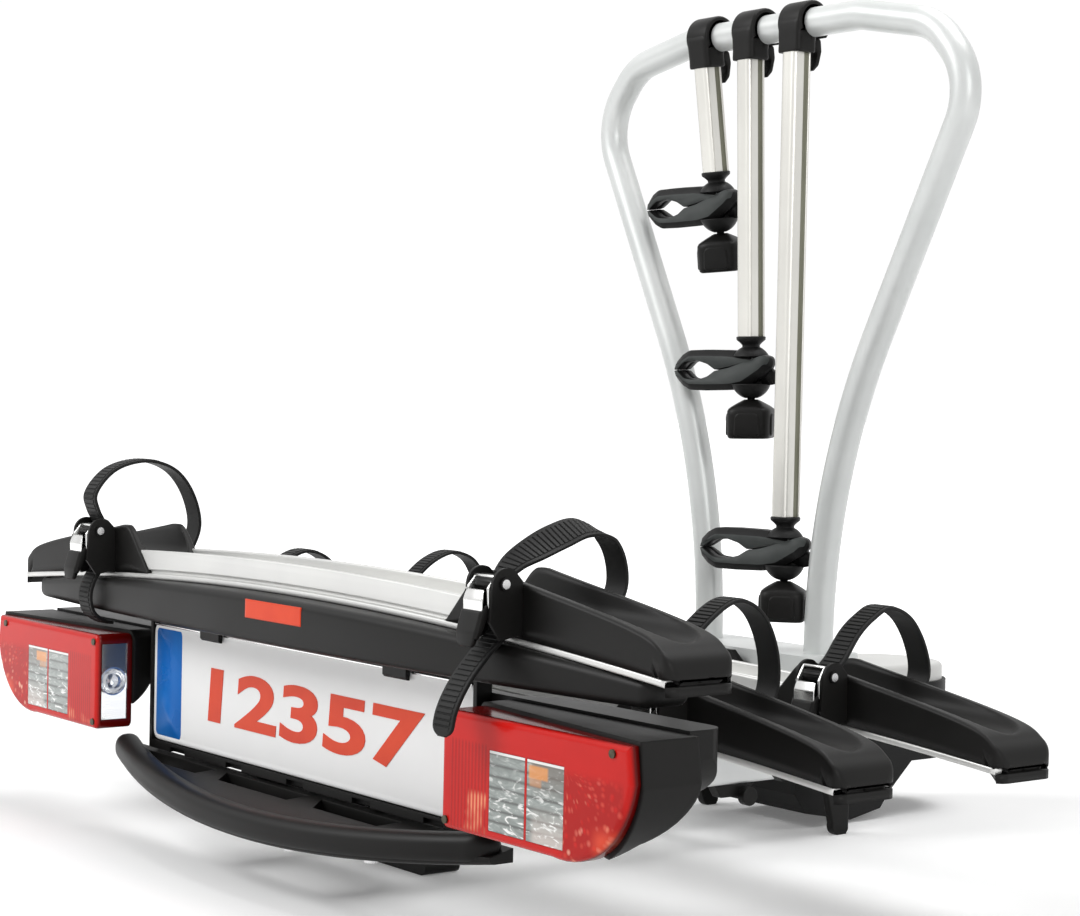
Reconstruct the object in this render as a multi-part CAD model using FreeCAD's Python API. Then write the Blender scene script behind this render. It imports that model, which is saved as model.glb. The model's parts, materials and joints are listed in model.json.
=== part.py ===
import FreeCAD, Part
import math
import os

# A towball-mounted platform carrier for three bikes.
# It is laid out from the number plate: X across, Y from the plate's face towards the car, Z up from
# the plate's lower edge. Every saved piece is then moved so that the towball's centre is the origin.

# Towball and coupling
ball_y = 732.0
ball_z = -12.0
ball_radius = 25.0
ball_clearance = 0.15
socket_mouth_drop = 22.0
socket_head_room = 2.0
shoe_half_width = 14.0
coupling_half_width = 60.0
coupling_rear_y = 541.0
coupling_bottom_z = -87.0
coupling_top_z = 46.0
coupling_belly = ((0.0, -55.0), (15.0, -75.0), (78.0, -87.0), (121.0, -79.0), (135.0, -62.0))
coupling_wall = 9.0
cover_half_width = 56.0
cover_top_z = 64.0
cover_rear_y = 640.0
shoe_pin_radius = 5.0
tilt_pin_y = 575.0
tilt_pin_z = -2.0
tilt_pin_radius = 8.0
tilt_lug_radius = 22.0
tilt_sector_radius = 64.0
tilt_sector_width = 8.0

# Rails and cross members
rail_inner_x = 78.0
rail_width = 22.0
rail_bottom_z = -28.0
rail_height = 58.0
rail_rear_y = 20.0
rail_front_y = 600.0
rail_wall = 3.0
cross_depth = 30.0
cross_height = 26.0
cross_rear_y = 110.0
cross_front_y = 405.0
cross_wall = 2.5

# Wheel trays: one extrusion bent to a crown, used three times
crown_radius = 5500.0
tray_half_length = 505.0
tray_lip_width = 62.4
tray_lip_height = 5.0
tray_wall_width = 57.4
tray_wall = 2.3
tray_height = 27.0
tray_groove_depth = 2.0
tray_groove_height = 3.0
tray_floor_edge_z = 14.0
tray_floor_middle_z = 10.0
tray_skin = 2.5
rear_tray_y = 13.2
rear_tray_z = 160.0
middle_tray_y = 178.2
front_tray_y = 355.2
low_tray_z = 71.0

# Wheel cups at the tray ends
cup_overhang = 6.0
cup_length = 268.0
cup_inner_slope = 43.0
cup_outer_slope = 24.0
cup_outer_x = tray_half_length + cup_overhang
cup_inner_x = cup_outer_x - cup_length
cup_top_inner_x = cup_inner_x + cup_inner_slope
cup_outer_top_x = cup_outer_x - cup_outer_slope
cup_inner_height = 52.0
cup_outer_height = 31.0
cup_end_wall = 5.0
cup_end_drop = 1.0
cup_rim_round = 5.0
saddle_radius = 25.0
saddle_inner_floor = 15.0
saddle_outer_floor = 27.0

# Wheel straps and ratchet buckles
strap_inset = 83.0
strap_x = cup_inner_x + strap_inset
strap_width = 25.0
strap_thickness = 3.0
strap_near_gap = 5.5
strap_foot_z = 12.0
strap_tail_reach = 54.0
strap_tail_drop = 38.0
buckle_width = 34.0
buckle_cheek = 3.0
buckle_depth = 30.0
buckle_base = 3.5
buckle_bottom_z = 2.0
buckle_top_z = 56.0
buckle_pin_out = 17.0
buckle_pin_z = 46.0
buckle_pin_radius = 2.5
lever_length = 48.0
lever_thickness = 5.0
lever_hub_radius = 6.5
lever_gap = 1.0

# Rear beam, uprights, lamp bar, plate and its holder
beam_half_length = 482.0
beam_front_y = -42.0
beam_end_y = -16.0
beam_back_y = 22.0
beam_low_z = 118.0
beam_round = 9.0
upright_y = 24.0
upright_depth = 34.0
upright_width = 18.0
upright_x = 80.0
lamp_bar_y = 13.0
lamp_bar_low_z = 52.0
lamp_bar_top_z = 104.0
lamp_bar_half_length = 498.0
lamp_bar_end_start = 330.0
lamp_bar_end_depth = 34.0
plate_length = 520.0
plate_height = 112.0
plate_thickness = 1.5
plate_clearance = 0.3
holder_rim = 5.0
holder_depth = 8.0
holder_lip = 1.6
holder_foot_height = 3.0
clip_width = 34.0
clip_height = 8.0
clip_left_x = -146.0
clip_right_x = 156.0

# Rear lamps
lamp_gap = 19.7
lamp_length = 224.3
lamp_inner_x = plate_length / 2 + holder_rim + lamp_gap
lamp_outer_x = lamp_inner_x + lamp_length
lamp_bottom_z = 8.2
lamp_top_z = 98.7
lamp_front_y = -48.0
lamp_part_inner_y = -11.0
lamp_part_outer_y = -40.0
lamp_back_y = 12.7
lamp_wall = 2.5
lamp_round = 7.0
lamp_corner_start = 135.3
lamp_corner_x = lamp_inner_x + lamp_corner_start
window_start = 61.3
window_start_x = lamp_inner_x + window_start
window_width = 43.0
window_gap = 2.5
window_low_z = 15.5
window_high_z = 75.0
window_thickness = 2.6
window_clearance = 0.2
reflector_depth = 20.0
reflector_wall = 1.5
side_window_inset = 9.0
bulb_radius = 8.0
bulb_neck_radius = 5.0
screw_radius = 3.2
screw_head_height = 1.4
screw_inset = 7.0

# Foot pedal, release rod and tilt latch
pedal_half_length = 306.0
pedal_back_y = 6.0
pedal_end_y = -16.0
pedal_front_y = -66.0
pedal_top_z = -10.0
pedal_rim_top_z = -27.0
pedal_middle_bottom_z = -44.0
pedal_end_bottom_z = -21.0
pedal_round = 4.5
pedal_pivot_y = 70.0
pedal_pivot_z = -12.0
pedal_pin_radius = 6.0
pedal_arm_x = 58.0
pedal_arm_width = 16.0
pedal_arm_radius = 13.0
pedal_tab_rise = 26.0
pedal_tab_width = 8.0
pedal_screw_radius = 6.0
pedal_screw_x = (-175.0, -75.0, 75.0, 175.0)
pocket_depth = 20.0
pedal_pockets = ((-267.0, -135.0), (-115.0, 25.0), (45.0, 165.0))
rod_radius = 4.0
rod_eye_radius = 8.0
rod_pin_radius = 3.0
rod_slot_play = 1.2
rod_end_gap = 14.0
rod_fork_near = 12.0
rod_fork_far = 18.0
rod_fork_reach = 13.0
rod_fork_back = 6.0
rod_fork_wall = 3.0
rod_fork_half = 8.0
rod_root_half = 5.0
latch_pivot_y = 487.0
latch_pivot_z = -8.0
latch_pin_radius = 5.0
latch_pad_low = -6.0
latch_pad_high = 7.0
latch_pad_gap = 0.4
latch_width = 10.0

# Running and standing clearances
pin_clearance = 0.08
side_clearance = 0.5
moving_gap = 1.0
seat_gap = 0.3

# Support arch and its base
arch_y = 548.0
arch_radius = 14.5
arch_foot_x = 80.5
arch_foot_z = 88.0
arch_knee_z = 258.0
arch_knee_round = 690.0
arch_wide_x = 266.0
arch_wide_round = 64.0
arch_shoulder_x = 216.0
arch_shoulder_round = 64.0
arch_bend_x = 118.0
arch_bend_round = 60.0
arch_top_z = 709.0
arch_shoulder_drop = 19.0
arch_wide_drop = 77.0
arch_shoulder_z = arch_top_z - arch_shoulder_drop
arch_wide_z = arch_top_z - arch_wide_drop
arch_tube_wall = 2.5
base_half_width = 100.0
base_rear_y = 511.0
base_front_y = 588.0
base_height = 28.0
base_wall = 6.0
base_round = 8.0
arch_pin_z = 70.0
arch_pin_radius = 6.0
ear_thickness = 7.0
ear_half_depth = 18.0
ear_round = 14.0
release_width = 52.0
release_top_z = 87.0
release_rear_y = 496.0
release_pivot_y = 504.5
release_pivot_z = 66.0
release_pin_radius = 2.5
release_hub_radius = 5.5

# Frame arms hooked on the arch
arm_names = ("short", "middle", "long")
arm_x = (-98.0, -29.0, 39.0)
arm_lean = (8.0, 2.0, 0.0)
claw_middle_z = (538.0, 366.0, 186.0)
claw_yaw = (81.0, 75.0, 69.0)
arm_set_back = 9.0
arm_bar_width = 20.0
arm_bar_depth = 18.0
arm_bar_round = 4.0
arm_groove_width = 7.0
arm_groove_depth = 1.5
arm_bar_top_drop = 20.0
hook_radius = 22.0
hook_width = 32.0
hook_mouth_y = 8.0
hook_block_drop = 26.0
hook_wall = 4.0
hook_lever_y = 13.0
hook_lever_z = -18.0
hook_lever_length = 36.0
hook_lever_width = 12.0
hook_lever_thickness = 5.0
hook_pin_radius = 2.5
hook_pin_half = 11.0
hook_reach = 60.0

# Frame clamp: ball stud, two jaws, knob. Heights are from the jaws' meeting plane.
bar_end_height = 34.0
collar_radius = 15.0
collar_neck_radius = 8.0
collar_height = 8.0
stud_ball_radius = 11.0
dome_radius = 17.0
dome_height = 11.0
dome_mouth_radius = 11.0
spindle_radius = 4.0
spindle_drop = 58.0
jaw_length = 90.0
jaw_depth = 27.0
jaw_back = 14.0
jaw_tail = 29.0
jaw_face_gap = 0.4
eye_near = 36.0
eye_far = 84.0
eye_rise = 12.0
jaw_tip_height = 5.0
jaw_crest_height = 24.0
jaw_crest = 52.0
jaw_hub_height = 22.0
tail_top = 15.0
tail_reach = 12.0
lower_dome_drop = 20.0
knob_top = -35.5
knob_bottom = -70.0
knob_side = 38.0
knob_corner = 9.0
knob_neck_radius = 7.5
knob_shoulder = 9.0

# Stand fins and rail brackets
fin_thickness = 9.0
fin_rear_y = 541.0
fin_front_y = 577.0
fin_bottom_depth = 20.0
fin_bottom_z = -90.0
foot_half_width = 46.0
foot_top_half_width = 30.0
foot_taper = 4.0
foot_round = 8.0
bracket_y = 400.0
bracket_length = 50.0
bracket_drop = 12.0
disc_y = 438.0
disc_radius = 9.0
disc_thickness = 8.0

datum = FreeCAD.Vector(0, ball_y, ball_z)
x_axis = FreeCAD.Vector(1, 0, 0)
y_axis = FreeCAD.Vector(0, 1, 0)
z_axis = FreeCAD.Vector(0, 0, 1)


# Shared helpers
def vec(x, y, z):
    return FreeCAD.Vector(x, y, z)


def save(name, *shapes):
    """Writes the solids of one node, moved to the towball datum."""
    solids = [solid.translated(-datum) for shape in shapes for solid in shape.Solids]
    body = solids[0] if len(solids) == 1 else Part.makeCompound(solids)
    body.exportStep("parts/" + name + ".step")


def block(x0, x1, y0, y1, z0, z1):
    return Part.makeBox(x1 - x0, y1 - y0, z1 - z0, vec(x0, y0, z0))


def round_bar(start, direction, length, radius):
    return Part.makeCylinder(radius, length, start, direction)


def across(x0, x1, y, z, radius):
    """A round bar along X."""
    return round_bar(vec(x0, y, z), x_axis, x1 - x0, radius)


def upright_bar(x, y, z0, z1, radius):
    """A round bar along Z."""
    return round_bar(vec(x, y, z0), z_axis, z1 - z0, radius)


def placed(plane, level, a, b):
    """A 2D point set in the plane yz, xz or xy at the given level."""
    if plane == "yz":
        return vec(level, a, b)
    if plane == "xz":
        return vec(a, level, b)
    return vec(a, b, level)


def face(plane, level, start, *steps):
    """A flat face. A step is the next corner, or a pair: a point on the way and the arc's end."""
    edges = []
    here = start
    for step in steps + (start,):
        if isinstance(step[0], tuple):
            middle, there = step
            arc = Part.Arc(
                placed(plane, level, *here), placed(plane, level, *middle), placed(plane, level, *there)
            )
            edges.append(arc.toShape())
        else:
            there = step
            if math.dist(here, there) < 1e-6:
                continue
            edges.append(Part.makeLine(placed(plane, level, *here), placed(plane, level, *there)))
        here = there
    return Part.Face(Part.Wire(edges))


def slab(plane, low, high, start, *steps):
    """A straight extrusion of a face from level low to level high."""
    direction = {"yz": x_axis, "xz": y_axis, "xy": z_axis}[plane]
    return face(plane, low, start, *steps).extrude(direction * (high - low))


def mirrored(shape):
    return shape.mirror(vec(0, 0, 0), x_axis)


def both_sides(shape):
    return [shape, mirrored(shape)]


def turned(shape, centre, axis, degrees):
    copy = shape.copy()
    copy.rotate(centre, axis, degrees)
    return copy


def rounded(shape, radius, wanted):
    """Fillets the edges for which wanted(bounding box) is true."""
    edges = [edge for edge in shape.Edges if wanted(edge.BoundBox)]
    return shape.makeFillet(radius, edges)


def rounded_path(corners):
    """A wire of straight runs joined by tangent arcs. A corner is a point and its round's radius."""
    edges = []
    here = corners[0][0]
    for i in range(1, len(corners) - 1):
        corner, radius = corners[i]
        into = (corner - corners[i - 1][0]).normalize()
        out = (corners[i + 1][0] - corner).normalize()
        turn = into.getAngle(out)
        reach = radius * math.tan(turn / 2)
        first = corner - into * reach
        last = corner + out * reach
        inward = (out - into).normalize()
        crest = corner + inward * (radius / math.cos(turn / 2) - radius)
        edges.append(Part.makeLine(here, first))
        edges.append(Part.Arc(first, crest, last).toShape())
        here = last
    edges.append(Part.makeLine(here, corners[-1][0]))
    return Part.Wire(edges)


def tube_along(path, radius):
    """A solid round section carried along a path."""
    start = path.Edges[0].Vertexes[0].Point
    tangent = path.Edges[0].tangentAt(path.Edges[0].FirstParameter)
    ring = Part.Wire(Part.makeCircle(radius, start, tangent))
    return path.makePipeShell([ring], True, True)


def smooth_edge(points):
    curve = Part.BSplineCurve()
    curve.interpolate(points)
    return curve.toShape()


def ribbon(centre_line, thickness, x_middle, width):
    """A band of even thickness along a line of (y, z) points, extruded along X."""
    left = []
    right = []
    count = len(centre_line)
    for i in range(count):
        before = centre_line[max(i - 1, 0)]
        after = centre_line[min(i + 1, count - 1)]
        dy = after[0] - before[0]
        dz = after[1] - before[1]
        size = math.hypot(dy, dz)
        shift_y = -dz / size * thickness / 2
        shift_z = dy / size * thickness / 2
        y, z = centre_line[i]
        left.append(vec(x_middle - width / 2, y + shift_y, z + shift_z))
        right.append(vec(x_middle - width / 2, y - shift_y, z - shift_z))
    edges = [
        smooth_edge(left),
        Part.makeLine(left[-1], right[-1]),
        smooth_edge(right[::-1]),
        Part.makeLine(right[0], left[0]),
    ]
    return Part.Face(Part.Wire(edges)).extrude(x_axis * width)


# Trays and what follows their crown
def crown_drop(x):
    """How far the crowned tray lies below its middle at a distance x from it."""
    return crown_radius - math.sqrt(crown_radius**2 - x**2)


def tray(y, z):
    """The bent channel section: lips below, a groove, two walls and a dished floor over a hollow."""
    lip = tray_lip_width / 2
    wall = tray_wall_width / 2
    inside = wall - tray_wall
    groove = wall - tray_groove_depth
    groove_top = tray_lip_height + tray_groove_height
    right = [
        (y + lip, z),
        (y + lip, z + tray_lip_height),
        (y + groove, z + tray_lip_height),
        (y + groove, z + groove_top),
        (y + wall, z + groove_top),
        (y + wall, z + tray_height),
        (y + inside, z + tray_height),
        (y + inside, z + tray_floor_edge_z),
    ]
    left = [(2 * y - a, b) for a, b in right[::-1]]
    dish = (((y, z + tray_floor_middle_z), left[0]),)
    section = face("yz", 0, right[0], *right[1:], *dish, *left[1:])
    hollow_half = groove - tray_skin
    hollow_top = tray_floor_middle_z - tray_skin
    hollow = face(
        "yz",
        0,
        (y - hollow_half, z + tray_skin),
        (y + hollow_half, z + tray_skin),
        (y + hollow_half, z + hollow_top),
        (y - hollow_half, z + hollow_top),
    )
    return crowned(section.cut(hollow), y, z)


def crowned(section, y, z):
    """Turns a middle section about the crown's far axis to the tray's two ends."""
    centre = vec(0, y, z - crown_radius)
    half = math.degrees(math.asin(tray_half_length / crown_radius))
    section.rotate(centre, y_axis, -half)
    solid = section.revolve(centre, y_axis, 2 * half)
    return solid.Solids[0]


def cup(y, z, tray_solid):
    """A wheel cup on the tray's right end: a long wedge with a round saddle along its top."""
    half = tray_lip_width / 2
    lift = tray_lip_height + seat_gap
    inner_base = z - crown_drop(cup_inner_x) + lift
    stop_x = cup_outer_x - cup_end_wall
    middle_x = (cup_inner_x + stop_x) / 2
    outer_base = z - crown_drop(cup_outer_x) - cup_end_drop
    corner_z = z - crown_drop(cup_outer_x) + 12
    crest_z = z - crown_drop(cup_outer_top_x) + cup_outer_height
    top_z = z - crown_drop(cup_top_inner_x) + cup_inner_height
    shell = slab(
        "xz",
        y - half,
        y + half,
        (cup_inner_x, inner_base),
        ((middle_x, z - crown_drop(middle_x) + lift), (stop_x, z - crown_drop(stop_x) + lift)),
        (stop_x, outer_base),
        (cup_outer_x, outer_base),
        (cup_outer_x, corner_z),
        ((cup_outer_x - 6.5, corner_z + 13), (cup_outer_top_x, crest_z)),
        (cup_top_inner_x, top_z),
    )
    shell = rounded(shell, cup_rim_round, lambda b: b.YLength < 1 and b.ZMin > corner_z and b.XLength > 1)
    floor_in = z - crown_drop(cup_inner_x) + saddle_inner_floor + saddle_radius
    floor_out = z - crown_drop(cup_outer_x) + saddle_outer_floor + saddle_radius
    start = vec(cup_inner_x - 20, y, floor_in)
    along = vec(cup_outer_x + 20, y, floor_out) - start
    saddle = Part.makeCylinder(saddle_radius, along.Length, start, along)
    over = slab(
        "xz",
        y - saddle_radius,
        y + saddle_radius,
        (start.x, start.z),
        (start.x + along.x, start.z + along.z),
        (start.x + along.x, start.z + along.z + 60),
        (start.x, start.z + 60),
    )
    return shell.cut(saddle).cut(over).cut(tray_solid).Solids[0]


# each strap's loop over its wheel's place: y from the tray's middle, z from the tray's underside there
strap_loops = {
    "rear": {
        -1: [(-47, 66), (-50, 80), (-30, 104), (6, 113), (36, 104), (55, 82), (64, 50), (56, 27)],
        1: [(-29, 59), (-8, 70), (14, 79), (36, 85), (56, 80), (69, 65), (73, 40), (61, 20)],
    },
    "middle": {
        -1: [(-34, 66), (-8, 94), (24, 109), (51, 100), (69, 72), (71, 40), (60, 20)],
        1: [(-33, 66), (-12, 92), (26, 113), (52, 102), (69, 72), (71, 40), (60, 20)],
    },
    "front": {
        -1: [(-30, 60), (-12, 80), (10, 96), (34, 103), (60, 94), (76, 66), (78, 40), (64, 20)],
        1: [(-28, 60), (-12, 80), (4, 92), (23, 100), (48, 91), (67, 66), (73, 40), (61, 20)],
    },
}


def strap_line(side, which, y, z):
    """A strap's middle line: its hanging tail, the run past the buckle, the loop and the far curl."""
    ground = z - crown_drop(strap_x)
    run_y = y - tray_lip_width / 2 - strap_near_gap - strap_thickness / 2
    foot_y = y + tray_lip_width / 2 + seat_gap + strap_thickness / 2
    tail_y = run_y - strap_tail_reach
    tail_z = ground - strap_tail_drop
    tail = [
        (tail_y, tail_z),
        (run_y - strap_tail_reach * 0.7, tail_z + strap_tail_drop * 0.42),
        (run_y - strap_tail_reach * 0.3, tail_z + strap_tail_drop * 0.9),
        (run_y - 2.5, ground + 10),
        (run_y, ground + 22),
        (run_y, ground + 48),
    ]
    loop = strap_loops[which][side]
    over = [(y + a, ground + b) for a, b in loop]
    end = [(foot_y + 10, ground + strap_foot_z + 1), (foot_y, ground + strap_foot_z + 8)]
    return tail + over + end


def strap(side, which, y, z):
    """A wheel strap, bent along its middle line."""
    return ribbon(strap_line(side, which, y, z), strap_thickness, side * strap_x, strap_width)


def buckle_axis(y, z):
    """The place of a buckle's pin beside the tray whose middle is at y, z."""
    near_y = y - tray_lip_width / 2
    return near_y - buckle_pin_out, z - crown_drop(strap_x) + buckle_pin_z


def buckle_frame(side, y, z):
    """A back plate on the cup's near wall with two cheeks, tapered below, and the strap's slot between."""
    ground = z - crown_drop(strap_x)
    near_y = y - tray_lip_width / 2
    half = buckle_width / 2
    x0 = side * strap_x - half
    x1 = side * strap_x + half
    low = ground + buckle_bottom_z
    high = ground + buckle_top_z
    plate_low = ground + tray_lip_height + 2 * seat_gap
    plate_high = ground + cup_inner_height - 14
    back = block(x0, x1, near_y - buckle_base, near_y, plate_low, plate_high)
    pin_y, pin_z = buckle_axis(y, z)
    cheeks = []
    for a in (x0, x1 - buckle_cheek):
        cheeks.append(
            slab(
                "yz",
                a,
                a + buckle_cheek,
                (near_y - seat_gap, plate_low + 2),
                (near_y - seat_gap, high - 8),
                (near_y - 8, high),
                ((pin_y - 6, high - 1), (pin_y - 11, pin_z - 2)),
                (near_y - buckle_depth, low + 16),
                (near_y - buckle_depth + 10, low + 2),
            )
        )
    bridge = block(x0, x1, near_y - buckle_base, near_y - seat_gap, plate_high - 1, high - 8)
    body = back.fuse(cheeks).fuse(bridge)
    pin = across(x0 - 1, x1 + 1, pin_y, pin_z, buckle_pin_radius + pin_clearance)
    return body.cut(pin).removeSplitter()


def buckle_lever(side, y, z):
    """A curved thumb lever with a hub round the pin, between the cheeks."""
    pin_y, pin_z = buckle_axis(y, z)
    half = buckle_width / 2 - buckle_cheek - side_clearance
    x0 = side * strap_x - half
    x1 = side * strap_x + half
    hub = across(x0, x1, pin_y, pin_z, lever_hub_radius)
    hub_out = pin_y - lever_hub_radius
    tip_y = pin_y - 17
    tip_z = pin_z - lever_length
    blade = slab(
        "yz",
        x0,
        x1,
        (pin_y, pin_z + lever_hub_radius),
        ((hub_out - 4, pin_z - 8), (tip_y, tip_z + 4)),
        (tip_y - 2, tip_z),
        (tip_y - 7, tip_z + 2),
        ((hub_out - 9.5, pin_z - 6), (pin_y - 3, pin_z + lever_hub_radius - 0.4)),
    )
    bore = across(x0 - 1, x1 + 1, pin_y, pin_z, buckle_pin_radius + pin_clearance)
    return hub.fuse(blade).cut(bore).removeSplitter()


def wheel_carriers():
    """Trays, cups, straps and buckles."""
    rows = (
        ("rear", rear_tray_y, rear_tray_z),
        ("middle", middle_tray_y, low_tray_z),
        ("front", front_tray_y, low_tray_z),
    )
    cups = []
    straps = []
    frames = []
    for which, y, z in rows:
        channel = tray(y, z)
        save(which + "_tray", channel)
        cups += both_sides(cup(y, z, channel))
        for name, side in (("left", -1), ("right", 1)):
            straps.append(strap(side, which, y, z))
            frames.append(buckle_frame(side, y, z))
            save("buckle_lever_" + which + "_" + name, buckle_lever(side, y, z))
    save("wheel_cups", *cups)
    save("wheel_straps", *straps)
    save("buckle_frames", *frames)
    return rows


# Platform structure
def side_rails():
    x0 = rail_inner_x
    x1 = x0 + rail_width
    top = rail_bottom_z + rail_height
    outer = block(x0, x1, rail_rear_y, rail_front_y, rail_bottom_z, top)
    outer = rounded(outer, 3, lambda b: b.YLength > rail_front_y - rail_rear_y - 1)
    inner = block(
        x0 + rail_wall,
        x1 - rail_wall,
        rail_rear_y - 1,
        rail_front_y + 1,
        rail_bottom_z + rail_wall,
        top - rail_wall,
    )
    rail = outer.cut(inner)
    for y, z, radius in (
        (pedal_pivot_y, pedal_pivot_z, pedal_pin_radius),
        (tilt_pin_y, tilt_pin_z, tilt_pin_radius),
    ):
        rail = rail.cut(across(x0 - 1, x1 + 1, y, z, radius))
    save("side_rails", *both_sides(rail))


def cross_members():
    tubes = []
    for y in (cross_rear_y, cross_front_y):
        top = rail_bottom_z + cross_height
        outer = block(-rail_inner_x, rail_inner_x, y, y + cross_depth, rail_bottom_z, top)
        inner = block(
            -rail_inner_x - 1,
            rail_inner_x + 1,
            y + cross_wall,
            y + cross_depth - cross_wall,
            rail_bottom_z + cross_wall,
            top - cross_wall,
        )
        tubes.append(outer.cut(inner))
    latch_z = rail_bottom_z + cross_height
    y1 = cross_front_y + cross_depth
    carrier = slab(
        "yz",
        -latch_width / 2 - 7,
        -latch_width / 2 - side_clearance,
        (y1, rail_bottom_z),
        (latch_pivot_y + 8, latch_pivot_z - 9),
        ((latch_pivot_y + 12, latch_pivot_z), (latch_pivot_y + 8, latch_pivot_z + 9)),
        (y1, latch_z),
    )
    hole = across(-30, 30, latch_pivot_y, latch_pivot_z, latch_pin_radius)
    carrier = carrier.cut(hole)
    save("cross_members", *tubes, carrier, mirrored(carrier))


def rear_uprights(rear_tray):
    top = rail_bottom_z + rail_height
    x1 = upright_x + upright_width
    post = block(upright_x, x1, upright_y, upright_y + upright_depth, top, rear_tray_z)
    post = rounded(post, 2.5, lambda b: b.ZLength > rear_tray_z - top - 1)
    save("rear_uprights", *both_sides(post.cut(rear_tray)))


def tray_mounts(trays):
    """Four saddles that carry the middle and front trays on the rails."""
    top = rail_bottom_z + rail_height
    mounts = []
    for y, channel in ((middle_tray_y, trays[1]), (front_tray_y, trays[2])):
        foot = slab(
            "yz",
            rail_inner_x + 1,
            rail_inner_x + rail_width - 1,
            (y - 28, top),
            (y + 28, top),
            (y + 22, low_tray_z),
            (y - 22, low_tray_z),
        )
        mounts += both_sides(foot.cut(channel).Solids[0])
    save("tray_mounts", *mounts)


def rear_beam(rear_tray):
    """A bowed moulding under the rear tray: a crescent from the front, curved in plan too."""
    end_z = rear_tray_z - crown_drop(beam_half_length)
    crescent = slab(
        "xz",
        beam_front_y - 10,
        beam_back_y,
        (-beam_half_length, end_z),
        ((0, rear_tray_z), (beam_half_length, end_z)),
        (beam_half_length, end_z - 4),
        ((260, beam_low_z + 4), (0, beam_low_z)),
        ((-260, beam_low_z + 4), (-beam_half_length, end_z - 4)),
    )
    plan = slab(
        "xy",
        beam_low_z - 10,
        rear_tray_z + 10,
        (-beam_half_length, beam_back_y),
        (-beam_half_length, beam_end_y),
        ((0, beam_front_y), (beam_half_length, beam_end_y)),
        (beam_half_length, beam_back_y),
    )
    beam = crescent.common(plan)
    beam = rounded(beam, beam_round, lambda b: b.ZMax < beam_low_z + 30 and b.YMin < beam_front_y + 1)
    save("rear_beam", beam.cut(rear_tray).Solids[0])


def lamp_bar():
    """A moulded bar behind the plate, thicker at its ends where the lamps are bolted on."""
    deep_y = lamp_bar_y + lamp_bar_end_depth
    bar = slab(
        "xy",
        lamp_bar_low_z,
        lamp_bar_top_z,
        (0, lamp_bar_y),
        (lamp_bar_half_length, lamp_bar_y),
        (lamp_bar_half_length, deep_y - 12),
        ((lamp_bar_half_length - 4, deep_y - 4), (lamp_bar_half_length - 12, deep_y)),
        (lamp_bar_end_start, deep_y),
        (lamp_bar_end_start - 40, upright_y),
        (0, upright_y),
    )
    arch_low = lamp_bar_low_z + 34
    notch = slab(
        "xz",
        lamp_bar_y - 1,
        deep_y + 1,
        (lamp_bar_half_length + 1, lamp_bar_low_z - 1),
        (lamp_bar_half_length + 1, arch_low),
        ((lamp_bar_half_length - 16, lamp_bar_low_z + 9), (lamp_bar_half_length - 50, lamp_bar_low_z - 1)),
    )
    half = bar.cut(notch)
    save("lamp_bar", half.fuse(mirrored(half)).removeSplitter())


# Plate and its holder
def plate_and_holder():
    half = plate_length / 2
    plate = block(-half, half, 0, plate_thickness, 0, plate_height)
    plate = rounded(plate, 5, lambda b: b.XLength < 1 and b.ZLength < 1)
    save("number_plate", plate)
    out = half + holder_rim
    back = plate_thickness + plate_clearance
    low = -holder_rim - holder_foot_height
    board = block(-out, out, -holder_lip, lamp_bar_y, low, plate_height + holder_rim)
    room = plate_clearance
    board = board.cut(block(-half - room, half + room, -holder_lip - 1, back, -room, plate_height + room))
    rear_room = block(-out - 1, out + 1, holder_depth, lamp_bar_y + 1, low - 1, lamp_bar_low_z + 4)
    board = board.cut(rear_room)
    for i in range(-2, 3):
        slot = block(i * 105 - 14, i * 105 + 14, -holder_lip - 1, 3, low - 1, low + 5)
        board = board.cut(slot)
    clips = []
    for x in (clip_left_x, clip_right_x):
        top = plate_height + holder_rim
        clips.append(
            slab(
                "yz",
                x - clip_width / 2,
                x + clip_width / 2,
                (-holder_lip, plate_height - clip_height),
                (-holder_lip, top - 1),
                (-holder_lip - 4, top - 1),
                (-holder_lip - 4, plate_height - clip_height + 2),
                (-holder_lip - 2, plate_height - clip_height),
            )
        )
    save("plate_holder", board, *clips)


# Rear lamps
def lamp_outline(grow, low_y, high_y):
    """The lamp's front outline, rounded at its inner corners and swept up at its lower outer one, as a slab."""
    inner = lamp_inner_x - grow
    outer = lamp_outer_x + grow
    bottom = lamp_bottom_z - grow
    top = lamp_top_z + grow
    corner = lamp_corner_x
    rise = bottom + 64
    reach = outer - corner
    mid_x = corner + reach * math.sin(math.radians(45))
    mid_z = rise - (rise - bottom) * math.cos(math.radians(45))
    bend = lamp_round + grow
    inset = bend * (1 - math.cos(math.radians(45)))
    return slab(
        "xz",
        low_y,
        high_y,
        (inner + bend, top),
        ((inner + inset, top - inset), (inner, top - bend)),
        (inner, bottom + bend),
        ((inner + inset, bottom + inset), (inner + bend, bottom)),
        (corner, bottom),
        ((mid_x, mid_z), (outer, rise)),
        (outer - 4, top),
    )


def lamp_parting(offset, side):
    """All that lies in front (-1) or behind (1) of the slanted joint between lens and housing."""
    reach = 40
    slope = (lamp_part_outer_y - lamp_part_inner_y) / (lamp_outer_x - lamp_inner_x)
    x0 = lamp_inner_x - reach
    x1 = lamp_outer_x + reach
    y0 = lamp_part_inner_y - slope * reach + offset
    y1 = lamp_part_outer_y + slope * reach + offset
    far = side * 120
    low = lamp_bottom_z - reach
    high = lamp_top_z + reach
    return slab("xy", low, high, (x0, y0), (x1, y1), (x1, y1 + far), (x0, y0 + far))


def window_spans():
    """The start and end of each clear window along X."""
    first = window_start_x
    second = first + window_width + window_gap
    return ((first, first + window_width), (second, second + window_width))


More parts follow.
